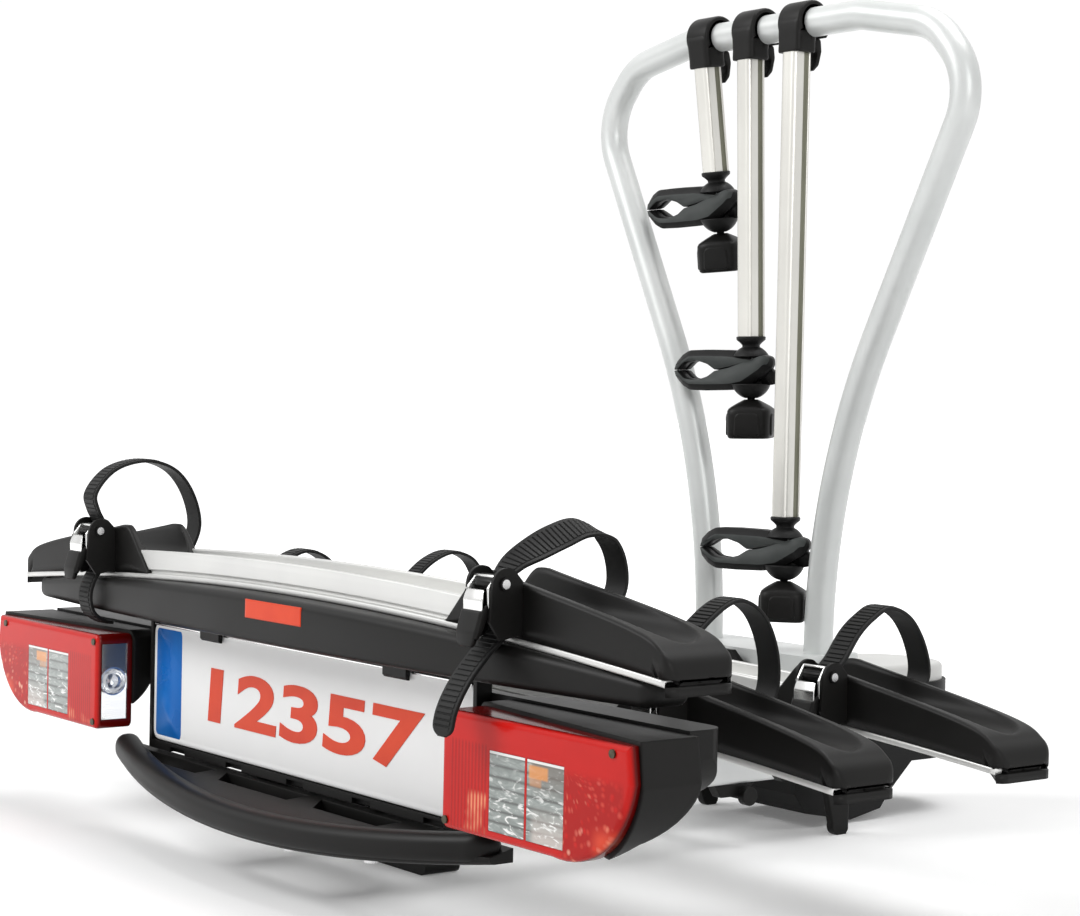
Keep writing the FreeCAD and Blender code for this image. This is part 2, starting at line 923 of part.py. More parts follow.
def lamp_pieces():
    """Lens, housing, windows, reflectors, bulbs and screws of the right lamp, then their mirror images."""
    outer = lamp_outline(0, lamp_front_y, lamp_back_y)
    edge_y = lamp_front_y + 1
    outer = rounded(outer, 5, lambda b: b.YMax < edge_y)
    front = outer.common(lamp_parting(0, -1))
    inside = lamp_outline(-lamp_wall, lamp_front_y + lamp_wall, lamp_back_y)
    lens = front.cut(inside)
    rear = lamp_outline(3, lamp_front_y + 2, lamp_back_y).common(lamp_parting(0, 1))
    hull = slab(
        "yz",
        lamp_inner_x - 10,
        lamp_outer_x + 10,
        (lamp_front_y, lamp_top_z + 5),
        (lamp_back_y, lamp_top_z + 9),
        (lamp_back_y, 62),
        ((0, 40), (-22, 26)),
        (lamp_front_y, 2),
    )
    cavity = lamp_outline(-lamp_wall, lamp_front_y, lamp_back_y - 4)
    housing = rear.common(hull).cut(cavity)
    windows = []
    reflectors = []
    bulbs = []
    for x0, x1 in window_spans():
        lens = lens.cut(block(x0, x1, lamp_front_y - 1, lamp_front_y + 5, window_low_z, window_high_z))
        gap = window_clearance
        windows.append(
            block(
                x0 + gap,
                x1 - gap,
                lamp_front_y,
                lamp_front_y + window_thickness,
                window_low_z + gap,
                window_high_z - gap,
            )
        )
        mouth = lamp_front_y + window_thickness + seat_gap
        middle_x = (x0 + x1) / 2
        middle_z = (window_low_z + window_high_z) / 2
        shell = block(x0 + 1, x1 - 1, mouth, mouth + reflector_depth, window_low_z, window_high_z)
        bowl = Part.makeSphere(1)
        stretch = FreeCAD.Matrix()
        stretch.scale(window_width / 2 - 3, reflector_depth - 3, (window_high_z - window_low_z) / 2 - 2)
        bowl = bowl.transformGeometry(stretch)
        bowl.translate(vec(middle_x, mouth, middle_z))
        reflector = shell.cut(bowl)
        neck_y = mouth + reflector_depth
        reflector = reflector.cut(
            round_bar(vec(middle_x, mouth, middle_z), y_axis, reflector_depth + 1, bulb_neck_radius)
        )
        reflectors.append(reflector)
        bulb = Part.makeSphere(bulb_radius, vec(middle_x, mouth + bulb_radius + 2, middle_z))
        neck = round_bar(vec(middle_x, mouth + 10, middle_z), y_axis, neck_y - mouth - 8, bulb_neck_radius)
        bulbs.append(bulb.fuse(neck).removeSplitter())
    side_y0 = lamp_front_y + side_window_inset - 4
    side_y1 = lamp_part_inner_y - 5
    side_z0 = lamp_bottom_z + side_window_inset
    side_z1 = lamp_top_z - side_window_inset
    lens = lens.cut(block(lamp_inner_x - 1, lamp_inner_x + 8, side_y0, side_y1, side_z0, side_z1))
    gap = window_clearance
    windows.append(
        block(
            lamp_inner_x,
            lamp_inner_x + lamp_wall,
            side_y0 + gap,
            side_y1 - gap,
            side_z0 + gap,
            side_z1 - gap,
        )
    )
    dish_x = lamp_inner_x + lamp_wall + seat_gap
    dish_y = (side_y0 + side_y1) / 2
    dish_z = (side_z0 + side_z1) / 2
    dish_radius = (side_y1 - side_y0) / 2
    dish = across(dish_x, dish_x + 16, dish_y, dish_z, dish_radius)
    dish = dish.cut(Part.makeSphere(dish_radius - 1, vec(dish_x, dish_y, dish_z)))
    reflectors.append(dish)
    screws = []
    for x, z in (
        (lamp_inner_x + screw_inset, lamp_bottom_z + screw_inset),
        (lamp_inner_x + screw_inset, lamp_top_z - screw_inset),
        (lamp_outer_x - 3 * screw_inset, lamp_top_z - screw_inset),
    ):
        head = round_bar(vec(x, lamp_front_y - screw_head_height, z), y_axis, screw_head_height, screw_radius)
        screws.append(head)
    return lens, housing, windows, reflectors, bulbs, screws


def rear_lamps():
    lens, housing, windows, reflectors, bulbs, screws = lamp_pieces()
    save("lamp_lenses", *both_sides(lens))
    save("lamp_housings", *both_sides(housing))
    for name, group in (
        ("lamp_windows", windows),
        ("lamp_reflectors", reflectors),
        ("lamp_bulbs", bulbs),
        ("lens_screws", screws),
    ):
        save(name, *group, *[mirrored(piece) for piece in group])


# Foot pedal, release rod and tilt latch
def foot_pedal():
    """A bow with three pockets in its top, two arms to its pivot and a tab that pulls the rod."""
    end = pedal_half_length
    elevation = slab(
        "xz",
        pedal_front_y - 20,
        pedal_back_y,
        (-end, pedal_end_bottom_z),
        ((0, pedal_middle_bottom_z), (end, pedal_end_bottom_z)),
        (end, pedal_top_z),
        (-end, pedal_top_z),
    )
    slope = slab(
        "yz",
        -end,
        end,
        (pedal_back_y, pedal_top_z),
        (pedal_back_y, pedal_middle_bottom_z - 10),
        (pedal_front_y - 1, pedal_middle_bottom_z - 10),
        (pedal_front_y - 1, pedal_rim_top_z),
    )
    plan = slab(
        "xy",
        pedal_middle_bottom_z - 10,
        pedal_top_z + 10,
        (-end, pedal_back_y),
        (-end, pedal_end_y),
        ((0, pedal_front_y), (end, pedal_end_y)),
        (end, pedal_back_y),
    )
    bow = elevation.common(plan).common(slope)
    bow = rounded(
        bow, pedal_round, lambda b: b.YMin < pedal_front_y + 1 and b.ZMin < pedal_middle_bottom_z + 1
    )
    for x0, x1 in pedal_pockets:
        depth = pedal_top_z - pocket_depth
        pocket = slab(
            "xy",
            depth,
            pedal_top_z + 5,
            (x0, pedal_back_y - 8),
            (x0 + 12, pedal_back_y - 24),
            (x1 - 12, pedal_back_y - 24),
            (x1, pedal_back_y - 8),
        )
        bow = bow.cut(pocket)
    arms = []
    for x0 in (pedal_arm_x, -pedal_arm_x - pedal_arm_width):
        x1 = x0 + pedal_arm_width
        arm = slab(
            "yz",
            x0,
            x1,
            (pedal_back_y - 4, pedal_middle_bottom_z + 8),
            (pedal_pivot_y, pedal_pivot_z - pedal_arm_radius),
            (
                (pedal_pivot_y + pedal_arm_radius, pedal_pivot_z),
                (pedal_pivot_y, pedal_pivot_z + pedal_arm_radius),
            ),
            (pedal_pivot_y - 14, pedal_pivot_z + pedal_arm_radius),
            (pedal_back_y - 4, pedal_top_z - 4),
        )
        arms.append(arm)
    bridge = across(-pedal_arm_x - 1, pedal_arm_x + 1, pedal_pivot_y, pedal_pivot_z, pedal_arm_radius)
    tab_z = pedal_pivot_z + pedal_tab_rise
    tab = slab(
        "yz",
        -pedal_tab_width / 2,
        pedal_tab_width / 2,
        (pedal_pivot_y - 9, pedal_pivot_z),
        (pedal_pivot_y + 9, pedal_pivot_z),
        (pedal_pivot_y + 5, tab_z + 3),
        ((pedal_pivot_y, tab_z + 6), (pedal_pivot_y - 5, tab_z + 3)),
    )
    tab_pin = across(-10, 10, pedal_pivot_y, tab_z, rod_pin_radius)
    body = bow.fuse(arms + [bridge, tab, tab_pin])
    reach = rail_inner_x + 1
    bore = across(-reach, reach, pedal_pivot_y, pedal_pivot_z, pedal_pin_radius + pin_clearance)
    save("foot_pedal", body.cut(bore).removeSplitter())
    screws = []
    sag = pedal_end_bottom_z - pedal_middle_bottom_z
    bend = (end**2 + sag**2) / (2 * sag)
    for x in pedal_screw_x:
        low = pedal_middle_bottom_z + bend - math.sqrt(bend**2 - x**2)
        fore = pedal_front_y + (pedal_end_y - pedal_front_y) * (x / end) ** 2
        y = fore + pedal_round + pedal_screw_radius + 2
        screws.append(upright_bar(x, y, low - 2.5, low + 12, pedal_screw_radius).cut(body).Solids[0])
    save("pedal_screws", *screws)


def release_rod():
    """A rod from the pedal's tab to the tilt latch, with a slotted fork at each end."""
    z = pedal_pivot_z + pedal_tab_rise
    y0 = pedal_pivot_y
    y1 = latch_pivot_y
    slot_radius = rod_pin_radius + pin_clearance
    pieces = [round_bar(vec(0, y0 + rod_end_gap, z), y_axis, y1 - y0 - 2 * rod_end_gap, rod_radius)]
    inner = pedal_tab_width / 2 + side_clearance
    outer = inner + rod_fork_wall
    for y, way in ((y0, 1), (y1, -1)):
        near, far = sorted((y + way * rod_fork_near, y + way * rod_fork_far))
        pieces.append(block(-outer, outer, near, far, z - rod_root_half, z + rod_root_half))
        low, high = sorted((y - way * rod_fork_back, y + way * rod_fork_reach))
        for x0 in (-outer, inner):
            pieces.append(block(x0, x0 + rod_fork_wall, low, high, z - rod_fork_half, z + rod_fork_half))
    rod = pieces[0].fuse(pieces[1:])
    for y in (y0, y1):
        lobe = across(-outer - 1, outer + 1, y, z + rod_slot_play, slot_radius)
        lower = across(-outer - 1, outer + 1, y, z - rod_slot_play, slot_radius)
        link = block(
            -outer - 1, outer + 1, y - slot_radius, y + slot_radius, z - rod_slot_play, z + rod_slot_play
        )
        rod = rod.cut(lobe).cut(lower).cut(link)
    save("release_rod", rod.removeSplitter())


def tilt_latch():
    """A brake shoe on a lever: its pad stands against the coupling's sector, and the rod lifts it."""
    y = latch_pivot_y
    z = latch_pivot_z
    top = pedal_pivot_z + pedal_tab_rise
    half = latch_width / 2
    arm = slab("yz", -half + 1, half - 1, (y - 7, z), (y + 7, z), (y + 4, top + 4), (y - 4, top + 4))
    hub = across(-half, half, y, z, 10)
    reach = tilt_sector_radius + latch_pad_gap
    low = tilt_pin_z + latch_pad_low
    high = tilt_pin_z + latch_pad_high
    low_y = tilt_pin_y - math.sqrt(reach**2 - latch_pad_low**2)
    high_y = tilt_pin_y - math.sqrt(reach**2 - latch_pad_high**2)
    nose = slab(
        "yz",
        -half,
        half,
        (y, z - 8),
        (low_y - 4, low),
        (low_y, low),
        ((tilt_pin_y - reach, tilt_pin_z), (high_y, high)),
        (high_y - 6, high),
        (y, z + 8),
    )
    pin = across(-10, 10, y, top, rod_pin_radius)
    body = arm.fuse([hub, nose, pin])
    bore = across(-20, 20, y, z, latch_pin_radius + pin_clearance)
    save("tilt_latch", body.cut(bore).removeSplitter())


# Coupling
def nose_plan(half, y0, z0, z1):
    """The coupling's plan, square behind and round about the ball in front, as a slab."""
    return slab("xy", z0, z1, (-half, y0), (-half, ball_y), ((0, ball_y + half), (half, ball_y)), (half, y0))


def coupling():
    """Housing with the ball's socket, side walls, pivot lugs and a catch bar; cover; clamp shoe."""
    half = coupling_half_width
    low = coupling_bottom_z
    nose = ball_y + half
    mouth_z = ball_z - socket_mouth_drop
    lower = slab(
        "yz",
        -half,
        half,
        *[(coupling_rear_y + run, z) for run, z in coupling_belly],
        (ball_y - ball_radius, mouth_z),
        (nose, mouth_z),
        (nose, coupling_top_z),
        (cover_rear_y - 10, coupling_top_z),
        (tilt_pin_y + 12, 17),
        ((tilt_pin_y, tilt_pin_z + tilt_lug_radius), (tilt_pin_y - tilt_lug_radius, tilt_pin_z)),
        (tilt_pin_y - tilt_lug_radius, -34),
        (coupling_rear_y, -34),
    )
    lower = lower.common(nose_plan(half, coupling_rear_y, low - 1, coupling_top_z + 1))
    lug = across(-rail_inner_x + side_clearance, rail_inner_x - side_clearance, tilt_pin_y, tilt_pin_z, 15)
    body = lower.fuse(lug)
    shoe_front = ball_y - ball_radius + 8
    way_in = slab(
        "yz",
        -half + coupling_wall,
        half - coupling_wall,
        (ball_y - 62, low - 1),
        (ball_y - 62, mouth_z - 8),
        (ball_y - 50, mouth_z),
        (nose, mouth_z),
        (nose, low - 1),
    )
    body = body.cut(way_in)
    radius = ball_radius + ball_clearance
    head_z = ball_z + socket_head_room
    body = body.cut(upright_bar(0, ball_y, mouth_z - 1, head_z, radius))
    body = body.cut(Part.makeSphere(radius, vec(0, ball_y, head_z)))
    room = shoe_half_width + moving_gap
    shoe_room = block(-room, room, ball_y - 66, shoe_front, mouth_z - 1, ball_z + 22)
    body = body.cut(shoe_room)
    shoe_y = ball_y - 46
    shoe_z = ball_z + 9
    pin = across(-half - 2, half + 2, shoe_y, shoe_z, shoe_pin_radius)
    bore = across(-100, 100, tilt_pin_y, tilt_pin_z, tilt_pin_radius + pin_clearance)
    reach = tilt_sector_radius
    arc = [
        (tilt_pin_y - reach * math.cos(math.radians(turn)), tilt_pin_z - reach * math.sin(math.radians(turn)))
        for turn in (20, 44)
    ]
    sector = slab(
        "yz",
        -tilt_sector_width / 2,
        tilt_sector_width / 2,
        (tilt_pin_y - reach, tilt_pin_z),
        tuple(arc),
        (coupling_rear_y + 12, -44),
        (tilt_pin_y - 16, -34),
        (tilt_pin_y - 16, tilt_pin_z + 8),
        (tilt_pin_y - reach + 3, tilt_pin_z + 8),
    )
    sector = sector.cut(across(-10, 10, tilt_pin_y, tilt_pin_z, tilt_lug_radius - 8))
    body = body.fuse([sector, pin]).cut(bore).removeSplitter()
    save("coupling_housing", body)
    shoe = slab(
        "yz",
        -shoe_half_width,
        shoe_half_width,
        (shoe_y - 9, shoe_z - 6),
        (shoe_y + 4, mouth_z + 1),
        (shoe_front - 1, mouth_z + 1),
        (shoe_front - 1, shoe_z + 5),
        (shoe_y + 6, shoe_z + 9),
        ((shoe_y - 6, shoe_z + 6), (shoe_y - 9, shoe_z)),
    )
    hollow = upright_bar(0, ball_y, ball_z - 60, ball_z + 60, radius + 2 * seat_gap)
    shoe = shoe.cut(hollow).cut(across(-20, 20, shoe_y, shoe_z, shoe_pin_radius + pin_clearance))
    save("clamp_shoe", shoe)
    cover()


def cover():
    """A pale cap over the coupling, dished to its sides."""
    half = cover_half_width
    y0 = cover_rear_y
    y1 = ball_y + half
    top = cover_top_z
    low = coupling_top_z
    cap = slab("yz", -half, half, (y0, low), (y1, low), (y1, top - 1), (y0 + 16, top + 2), (y0, top - 10))
    cap = cap.common(nose_plan(half, y0, low - 1, top + 10))
    cap = rounded(cap, 5, lambda b: b.ZMin > top - 3 and b.YMax > y0 + 20)
    save("coupling_cover", cap)


# Support arch
def arch_path():
    """Two legs that curve out to the shoulders, and a top that is flat where the arms hook on."""
    right = [
        (vec(arch_bend_x, arch_y, arch_top_z), arch_bend_round),
        (vec(arch_shoulder_x, arch_y, arch_shoulder_z), arch_shoulder_round),
        (vec(arch_wide_x, arch_y, arch_wide_z), arch_wide_round),
        (vec(arch_foot_x, arch_y, arch_knee_z), arch_knee_round),
        (vec(arch_foot_x, arch_y, arch_foot_z - 3), 0),
    ]
    left = [(vec(-point.x, point.y, point.z), radius) for point, radius in right[::-1]]
    return rounded_path(left + right)


def arch():
    path = arch_path()
    tube = tube_along(path, arch_radius)
    top = arch_foot_z
    base = block(-base_half_width, base_half_width, base_rear_y, base_front_y, top - base_height, top)
    base = rounded(base, base_round, lambda b: b.XLength < 1 and b.YLength < 1)
    inner = base_half_width - base_wall
    room = block(
        -inner,
        inner,
        base_rear_y + base_wall,
        base_front_y - base_wall,
        top - base_height - 1,
        top - base_wall,
    )
    boss = across(-inner - 1, inner + 1, arch_y, arch_pin_z, arch_pin_radius + 5)
    boss = boss.common(block(-inner - 1, inner + 1, 0, 1000, top - base_height, top))
    base = base.cut(room).fuse(boss)
    base = base.cut(across(-110, 110, arch_y, arch_pin_z, arch_pin_radius + pin_clearance))
    reach = release_width / 2 + side_clearance
    for x0 in (-reach - 5, reach):
        lug = slab(
            "yz",
            x0,
            x0 + 5,
            (base_rear_y, release_pivot_z - 6),
            (base_rear_y, release_pivot_z + 6),
            (release_pivot_y, release_pivot_z + release_hub_radius),
            (
                (release_pivot_y - release_hub_radius, release_pivot_z),
                (release_pivot_y, release_pivot_z - release_hub_radius),
            ),
        )
        base = base.fuse(lug)
    base = base.fuse(across(-reach - 1, reach + 1, release_pivot_y, release_pivot_z, release_pin_radius))
    save("arch_base", base.removeSplitter())
    near = 2 * arch_radius
    below = block(-arch_wide_x, arch_wide_x, arch_y - near, arch_y + near, top - near, top)
    save("arch_tube", tube.cut(below).Solids[0])
    x0 = rail_inner_x + rail_width
    ear = slab(
        "yz",
        x0 + side_clearance,
        x0 + side_clearance + ear_thickness,
        (arch_y - ear_half_depth, rail_bottom_z + 8),
        (arch_y + ear_half_depth, rail_bottom_z + 8),
        (arch_y + ear_half_depth, arch_pin_z - 4),
        ((arch_y, arch_pin_z + ear_round), (arch_y - ear_half_depth, arch_pin_z - 4)),
    )
    foot = block(
        x0,
        x0 + side_clearance,
        arch_y - ear_half_depth,
        arch_y + ear_half_depth,
        rail_bottom_z + 8,
        rail_bottom_z + 40,
    )
    ear = ear.fuse(foot).removeSplitter()
    ear = ear.cut(across(x0 - 1, x0 + 20, arch_y, arch_pin_z, arch_pin_radius))
    save("arch_ears", *both_sides(ear))


def arch_release():
    """A black release handle on the base's rear face, with a hub round its pin."""
    half = release_width / 2
    y = release_pivot_y
    z = release_pivot_z
    radius = release_hub_radius
    side = slab(
        "yz",
        -half,
        half,
        (y, z - radius),
        ((y + radius, z), (y, z + radius)),
        (release_rear_y + 5, release_top_z),
        (release_rear_y, release_top_z),
        (release_rear_y + 2, z - radius),
    )
    front = slab(
        "xz",
        release_rear_y - 1,
        y + radius + 1,
        (-half, z - radius - 1),
        (half, z - radius - 1),
        (half, z + radius),
        (half - 14, release_top_z),
        (-half + 14, release_top_z),
        (-half, z + radius),
    )
    handle = side.common(front)
    handle = handle.cut(across(-half - 1, half + 1, y, z, release_pin_radius + pin_clearance))
    save("arch_latch", handle.removeSplitter())


# Frame arms
def on_arm(index, shape):
    """Leans a piece about the arch's top tube with its arm."""
    return turned(shape, vec(0, arch_y, arch_top_z), x_axis, arm_lean[index])


def arm(index):
    name = arm_names[index]
    x = arm_x[index]
    y = arch_y - arm_set_back
    middle = claw_middle_z[index]
    bar_top = arch_top_z - arm_bar_top_drop
    bar_low = middle + bar_end_height
    bar = block(
        x - arm_bar_width / 2,
        x + arm_bar_width / 2,
        y - arm_bar_depth / 2,
        y + arm_bar_depth / 2,
        bar_low,
        bar_top,
    )
    bar = rounded(bar, arm_bar_round, lambda b: b.ZLength > bar_top - bar_low - 1)
    for side in (-1, 1):
        wall = x + side * (arm_bar_width / 2 - arm_groove_depth)
        edge = x + side * (arm_bar_width / 2 + 1)
        bar = bar.cut(
            block(min(wall, edge), max(wall, edge), y - 1, y - 1 + arm_groove_width, bar_low - 1, bar_top + 1)
        )
    save("arm_bar_" + name, on_arm(index, bar))
    save("arm_hook_" + name, on_arm(index, arm_hook(x, y, bar)))
    save("hook_lever_" + name, on_arm(index, hook_lever(x)))
    save("ball_stud_" + name, on_arm(index, ball_stud(x, y, middle)))
    jaws = claw(index, x, y, middle)
    save("upper_jaw_" + name, on_arm(index, jaws[0]))
    save("lower_jaw_" + name, on_arm(index, jaws[1]))
    save("clamp_knob_" + name, on_arm(index, knob(index, x, y, middle)))


def arm_hook(x, y, bar):
    """A hook over the arch's top tube, open towards the car, with a block round the arm's end."""
    half = hook_width / 2
    collar = across(x - half, x + half, arch_y, arch_top_z, hook_radius)
    low = arch_top_z - hook_block_drop
    deep = arm_bar_depth / 2 + hook_wall
    neck = block(x - half, x + half, y - deep, y + deep, low, arch_top_z)
    neck = rounded(neck, 4, lambda b: b.ZLength > hook_block_drop - 1)
    body = collar.fuse(neck)
    mouth = block(
        x - half - 1,
        x + half + 1,
        arch_y + hook_mouth_y,
        arch_y + hook_reach,
        arch_top_z - 13,
        arch_top_z + hook_reach,
    )
    body = body.cut(mouth)
    ear_y = arch_y + hook_lever_y
    ear_z = arch_top_z + hook_lever_z
    for side in (-1, 1):
        inner = hook_lever_width / 2 + side_clearance
        x0 = min(x + side * inner, x + side * (inner + 4))
        lug = across(x0, x0 + 4, ear_y, ear_z, 5).fuse(block(x0, x0 + 4, arch_y, ear_y, ear_z - 5, ear_z + 5))
        body = body.fuse(lug)
    slot = hook_lever_width / 2 + side_clearance
    body = body.cut(block(x - slot, x + slot, ear_y - 7.5, ear_y + 20, low - 1, ear_z + 7.5))
    body = body.fuse(across(x - hook_pin_half, x + hook_pin_half, ear_y, ear_z, hook_pin_radius))
    body = body.cut(across(x - half - 1, x + half + 1, arch_y, arch_top_z, arch_radius + pin_clearance))
    return body.cut(bar).removeSplitter().Solids[0]


def hook_lever(x):
    y = arch_y + hook_lever_y
    z = arch_top_z + hook_lever_z
    half = hook_lever_width / 2
    hub = across(x - half, x + half, y, z, 5)
    blade = slab(
        "yz",
        x - half,
        x + half,
        (y - 2, z),
        (y + 4, z),
        ((y + 5, z - hook_lever_length / 2), (y - 1, z - hook_lever_length)),
        (y - hook_lever_thickness + 1, z - hook_lever_length),
        ((y, z - hook_lever_length / 2), (y - 2, z - 4)),
    )
    bore = across(x - half - 1, x + half + 1, y, z, hook_pin_radius + pin_clearance)
    return hub.fuse(blade).cut(bore).removeSplitter()


def ball_stud(x, y, middle):
    """The arm's end collar with a neck, a ball and the long spindle, in one piece."""
    low = middle + bar_end_height
    foot = vec(x, y, low - collar_height)
    collar = Part.makeCone(collar_neck_radius, collar_radius, collar_height, foot, z_axis)
    neck = upright_bar(x, y, middle + dome_height, low - collar_height + 0.5, collar_neck_radius)
    ball = Part.makeSphere(stud_ball_radius, vec(x, y, middle + dome_height))
    spindle = upright_bar(x, y, middle - spindle_drop, middle + dome_height, spindle_radius)
    return collar.fuse([neck, ball, spindle]).removeSplitter()


def jaw_half(dome_z):
    """The upper jaw about the spindle: u along the jaw, w up, meeting plane at w = 0, depth along d."""
    half = jaw_depth / 2
    gap = jaw_face_gap
    tip = jaw_length
    eye_mid = (eye_near + eye_far) / 2
    beak = slab(
        "xz",
        -half,
        half,
        (-jaw_back, gap),
        (eye_near, gap),
        ((eye_mid, eye_rise), (eye_far, gap)),
        (tip, gap),
        (tip, jaw_tip_height),
        ((jaw_crest + 14, jaw_crest_height - 3), (jaw_crest - 10, jaw_crest_height)),
        (-jaw_back, jaw_hub_height),
    )
    tail = slab(
        "xz",
        -half,
        -gap,
        (-jaw_back + 1, -tail_reach),
        (-jaw_back + 1, jaw_hub_height),
        (-jaw_back, jaw_hub_height),
        ((-jaw_tail + 4, tail_top), (-jaw_tail, 4)),
        (-jaw_tail + 4, -tail_reach),
    )
    roof = slab(
        "xz",
        -gap - 1,
        half,
        (-jaw_back + 1, tail_reach + 2),
        (-jaw_back + 1, jaw_hub_height),
        (-jaw_back, jaw_hub_height),
        (-jaw_tail + 6, tail_reach + 2),
    )
    pocket = block(-jaw_tail - 5, -jaw_back + 1 + gap, -gap - 0.001, half + 1, -30, tail_reach + 1.2)
    dome = Part.makeSphere(dome_radius, vec(0, 0, dome_z))
    dome = dome.common(block(-40, 40, -40, 40, gap, -knob_top - 1.5))
    tip_half = half - 3
    plan = slab(
        "xy",
        -60,
        60,
        (-jaw_tail + half, -half),
        (jaw_crest, -half),
        (tip - 10, -tip_half),
        ((tip + 1, 0), (tip - 10, tip_half)),
        (jaw_crest, half),
        (-jaw_tail + half, half),
        ((-jaw_tail, 0), (-jaw_tail + half, -half)),
    )
    beak = beak.common(plan).fuse(dome).cut(pocket)
    return beak.fuse([tail.common(plan), roof.common(plan)])


def claw(index, x, y, middle):
    """The two jaws, alike but turned over, each with a half round dome on its outside."""
    turn = 270 - claw_yaw[index]
    mouth_z = dome_height + 4
    upper = jaw_half(dome_height)
    upper = upper.cut(Part.makeSphere(stud_ball_radius + seat_gap, vec(0, 0, dome_height)))
    funnel = Part.makeCone(dome_mouth_radius - 2, dome_mouth_radius + 4, 30, vec(0, 0, mouth_z), z_axis)
    upper = upper.cut(funnel)
    bore = upright_bar(0, 0, -80, 60, spindle_radius + seat_gap)
    upper = upper.cut(bore)
    lower = jaw_half(lower_dome_drop).cut(bore)
    lower = turned(lower, vec(0, 0, 0), x_axis, 180)
    placed_jaws = []
    for jaw in (upper, lower):
        jaw = turned(jaw.removeSplitter(), vec(0, 0, 0), z_axis, turn)
        jaw.translate(vec(x, y, middle))
        placed_jaws.append(jaw)
    return placed_jaws


def knob(index, x, y, middle):
    """A rounded square hand knob under the lower jaw, threaded on the spindle."""
    half = knob_side / 2
    grip_top = knob_top - knob_shoulder
    grip = block(-half, half, -half, half, knob_bottom, grip_top)
    grip = rounded(grip, knob_corner, lambda b: b.ZLength > 5)
    shoulder = Part.makeCone(half, knob_neck_radius, knob_shoulder, vec(0, 0, grip_top), z_axis)
    body = grip.fuse(shoulder)
    thread = upright_bar(0, 0, -spindle_drop - moving_gap, knob_top + 1, spindle_radius + pin_clearance)
    body = body.cut(thread)
    body = turned(body.removeSplitter(), vec(0, 0, 0), z_axis, 270 - claw_yaw[index] + 20)
    body.translate(vec(x, y, middle))
    return body


# Pins, fins and brackets
def pivot_pins(rows):
    """Pins that stay with the platform: pedal, tilt, arch, latch and the buckles' pins with heads."""
    reach = rail_inner_x + rail_width + 4
    pins = [
        across(-reach, reach, pedal_pivot_y, pedal_pivot_z, pedal_pin_radius),
        across(-reach, reach, tilt_pin_y, tilt_pin_z, tilt_pin_radius),
    ]
    ear_out = rail_inner_x + rail_width + side_clearance + ear_thickness + 3
    pins.append(across(-ear_out, ear_out, arch_y, arch_pin_z, arch_pin_radius))
    half = latch_width / 2 + 8
    pins.append(across(-half, half, latch_pivot_y, latch_pivot_z, latch_pin_radius))
    for which, y, z in rows:
        pin_y, pin_z = buckle_axis(y, z)
        for side in (-1, 1):
            x0 = side * strap_x - buckle_width / 2
            x1 = side * strap_x + buckle_width / 2
            pin = across(x0, x1, pin_y, pin_z, buckle_pin_radius)
            head = across(x1, x1 + 2.2, pin_y, pin_z, 5)
            pins.append(pin.fuse(head).removeSplitter())
    save("pivot_pins", *pins)


def rear_foot():
    """A plastic foot under the rear cross member, wider at the floor, that holds the carrier level."""
    y0 = cross_rear_y
    y1 = y0 + cross_depth
    wide = foot_half_width
    front = slab(
        "xz",
        y0 - foot_taper,
        y1 + foot_taper,
        (-foot_top_half_width, rail_bottom_z),
        (-wide, fin_bottom_z + foot_round),
        ((-wide + 2, fin_bottom_z + 2), (-wide + foot_round, fin_bottom_z)),
        (wide - foot_round, fin_bottom_z),
        ((wide - 2, fin_bottom_z + 2), (wide, fin_bottom_z + foot_round)),
        (foot_top_half_width, rail_bottom_z),
    )
    profile = slab(
        "yz",
        -wide,
        wide,
        (y0, rail_bottom_z),
        (y0 - foot_taper, fin_bottom_z),
        (y1 + foot_taper, fin_bottom_z),
        (y1, rail_bottom_z),
    )
    return front.common(profile)


def stand_feet():
    x1 = rail_inner_x + rail_width
    x0 = x1 - fin_thickness
    y0 = fin_rear_y
    y1 = fin_front_y
    tip_y = y1 - fin_bottom_depth
    fin = slab(
        "yz",
        x0,
        x1,
        (y0, rail_bottom_z),
        (tip_y - 2, fin_bottom_z + 8),
        ((tip_y, fin_bottom_z + 3), (tip_y + 4, fin_bottom_z)),
        (y1 - 4, fin_bottom_z),
        (y1, fin_bottom_z + 6),
        (y1, rail_bottom_z),
    )
    fin = rounded(fin, 2, lambda b: b.XLength < 1 and b.ZLength > 20)
    low = rail_bottom_z - bracket_drop
    plate = slab(
        "yz",
        x1 - 14,
        x1 - 2,
        (bracket_y, rail_bottom_z),
        (bracket_y + 8, low),
        (bracket_y + bracket_length - 12, low),
        (bracket_y + bracket_length, rail_bottom_z),
    )
    disc = across(x1 - 2, x1 - 2 + disc_thickness, disc_y, low, disc_radius)
    save("stand_feet", rear_foot(), *both_sides(fin), *both_sides(plate), *both_sides(disc))


def build():
    os.makedirs("parts", exist_ok=True)
    rows = wheel_carriers()
    trays = [tray(y, z) for which, y, z in rows]
    side_rails()
    cross_members()
    rear_uprights(trays[0])
    tray_mounts(trays)
    rear_beam(trays[0])
    lamp_bar()
    plate_and_holder()
    rear_lamps()
    foot_pedal()
    release_rod()
    tilt_latch()
    coupling()
    arch()
    arch_release()
    for index in range(len(arm_names)):
        arm(index)
    pivot_pins(rows)
    stand_feet()


build()
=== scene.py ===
import json
import math
import bmesh
import bpy
import numpy as np
from mathutils import Matrix, Vector
from mathutils.bvhtree import BVHTree


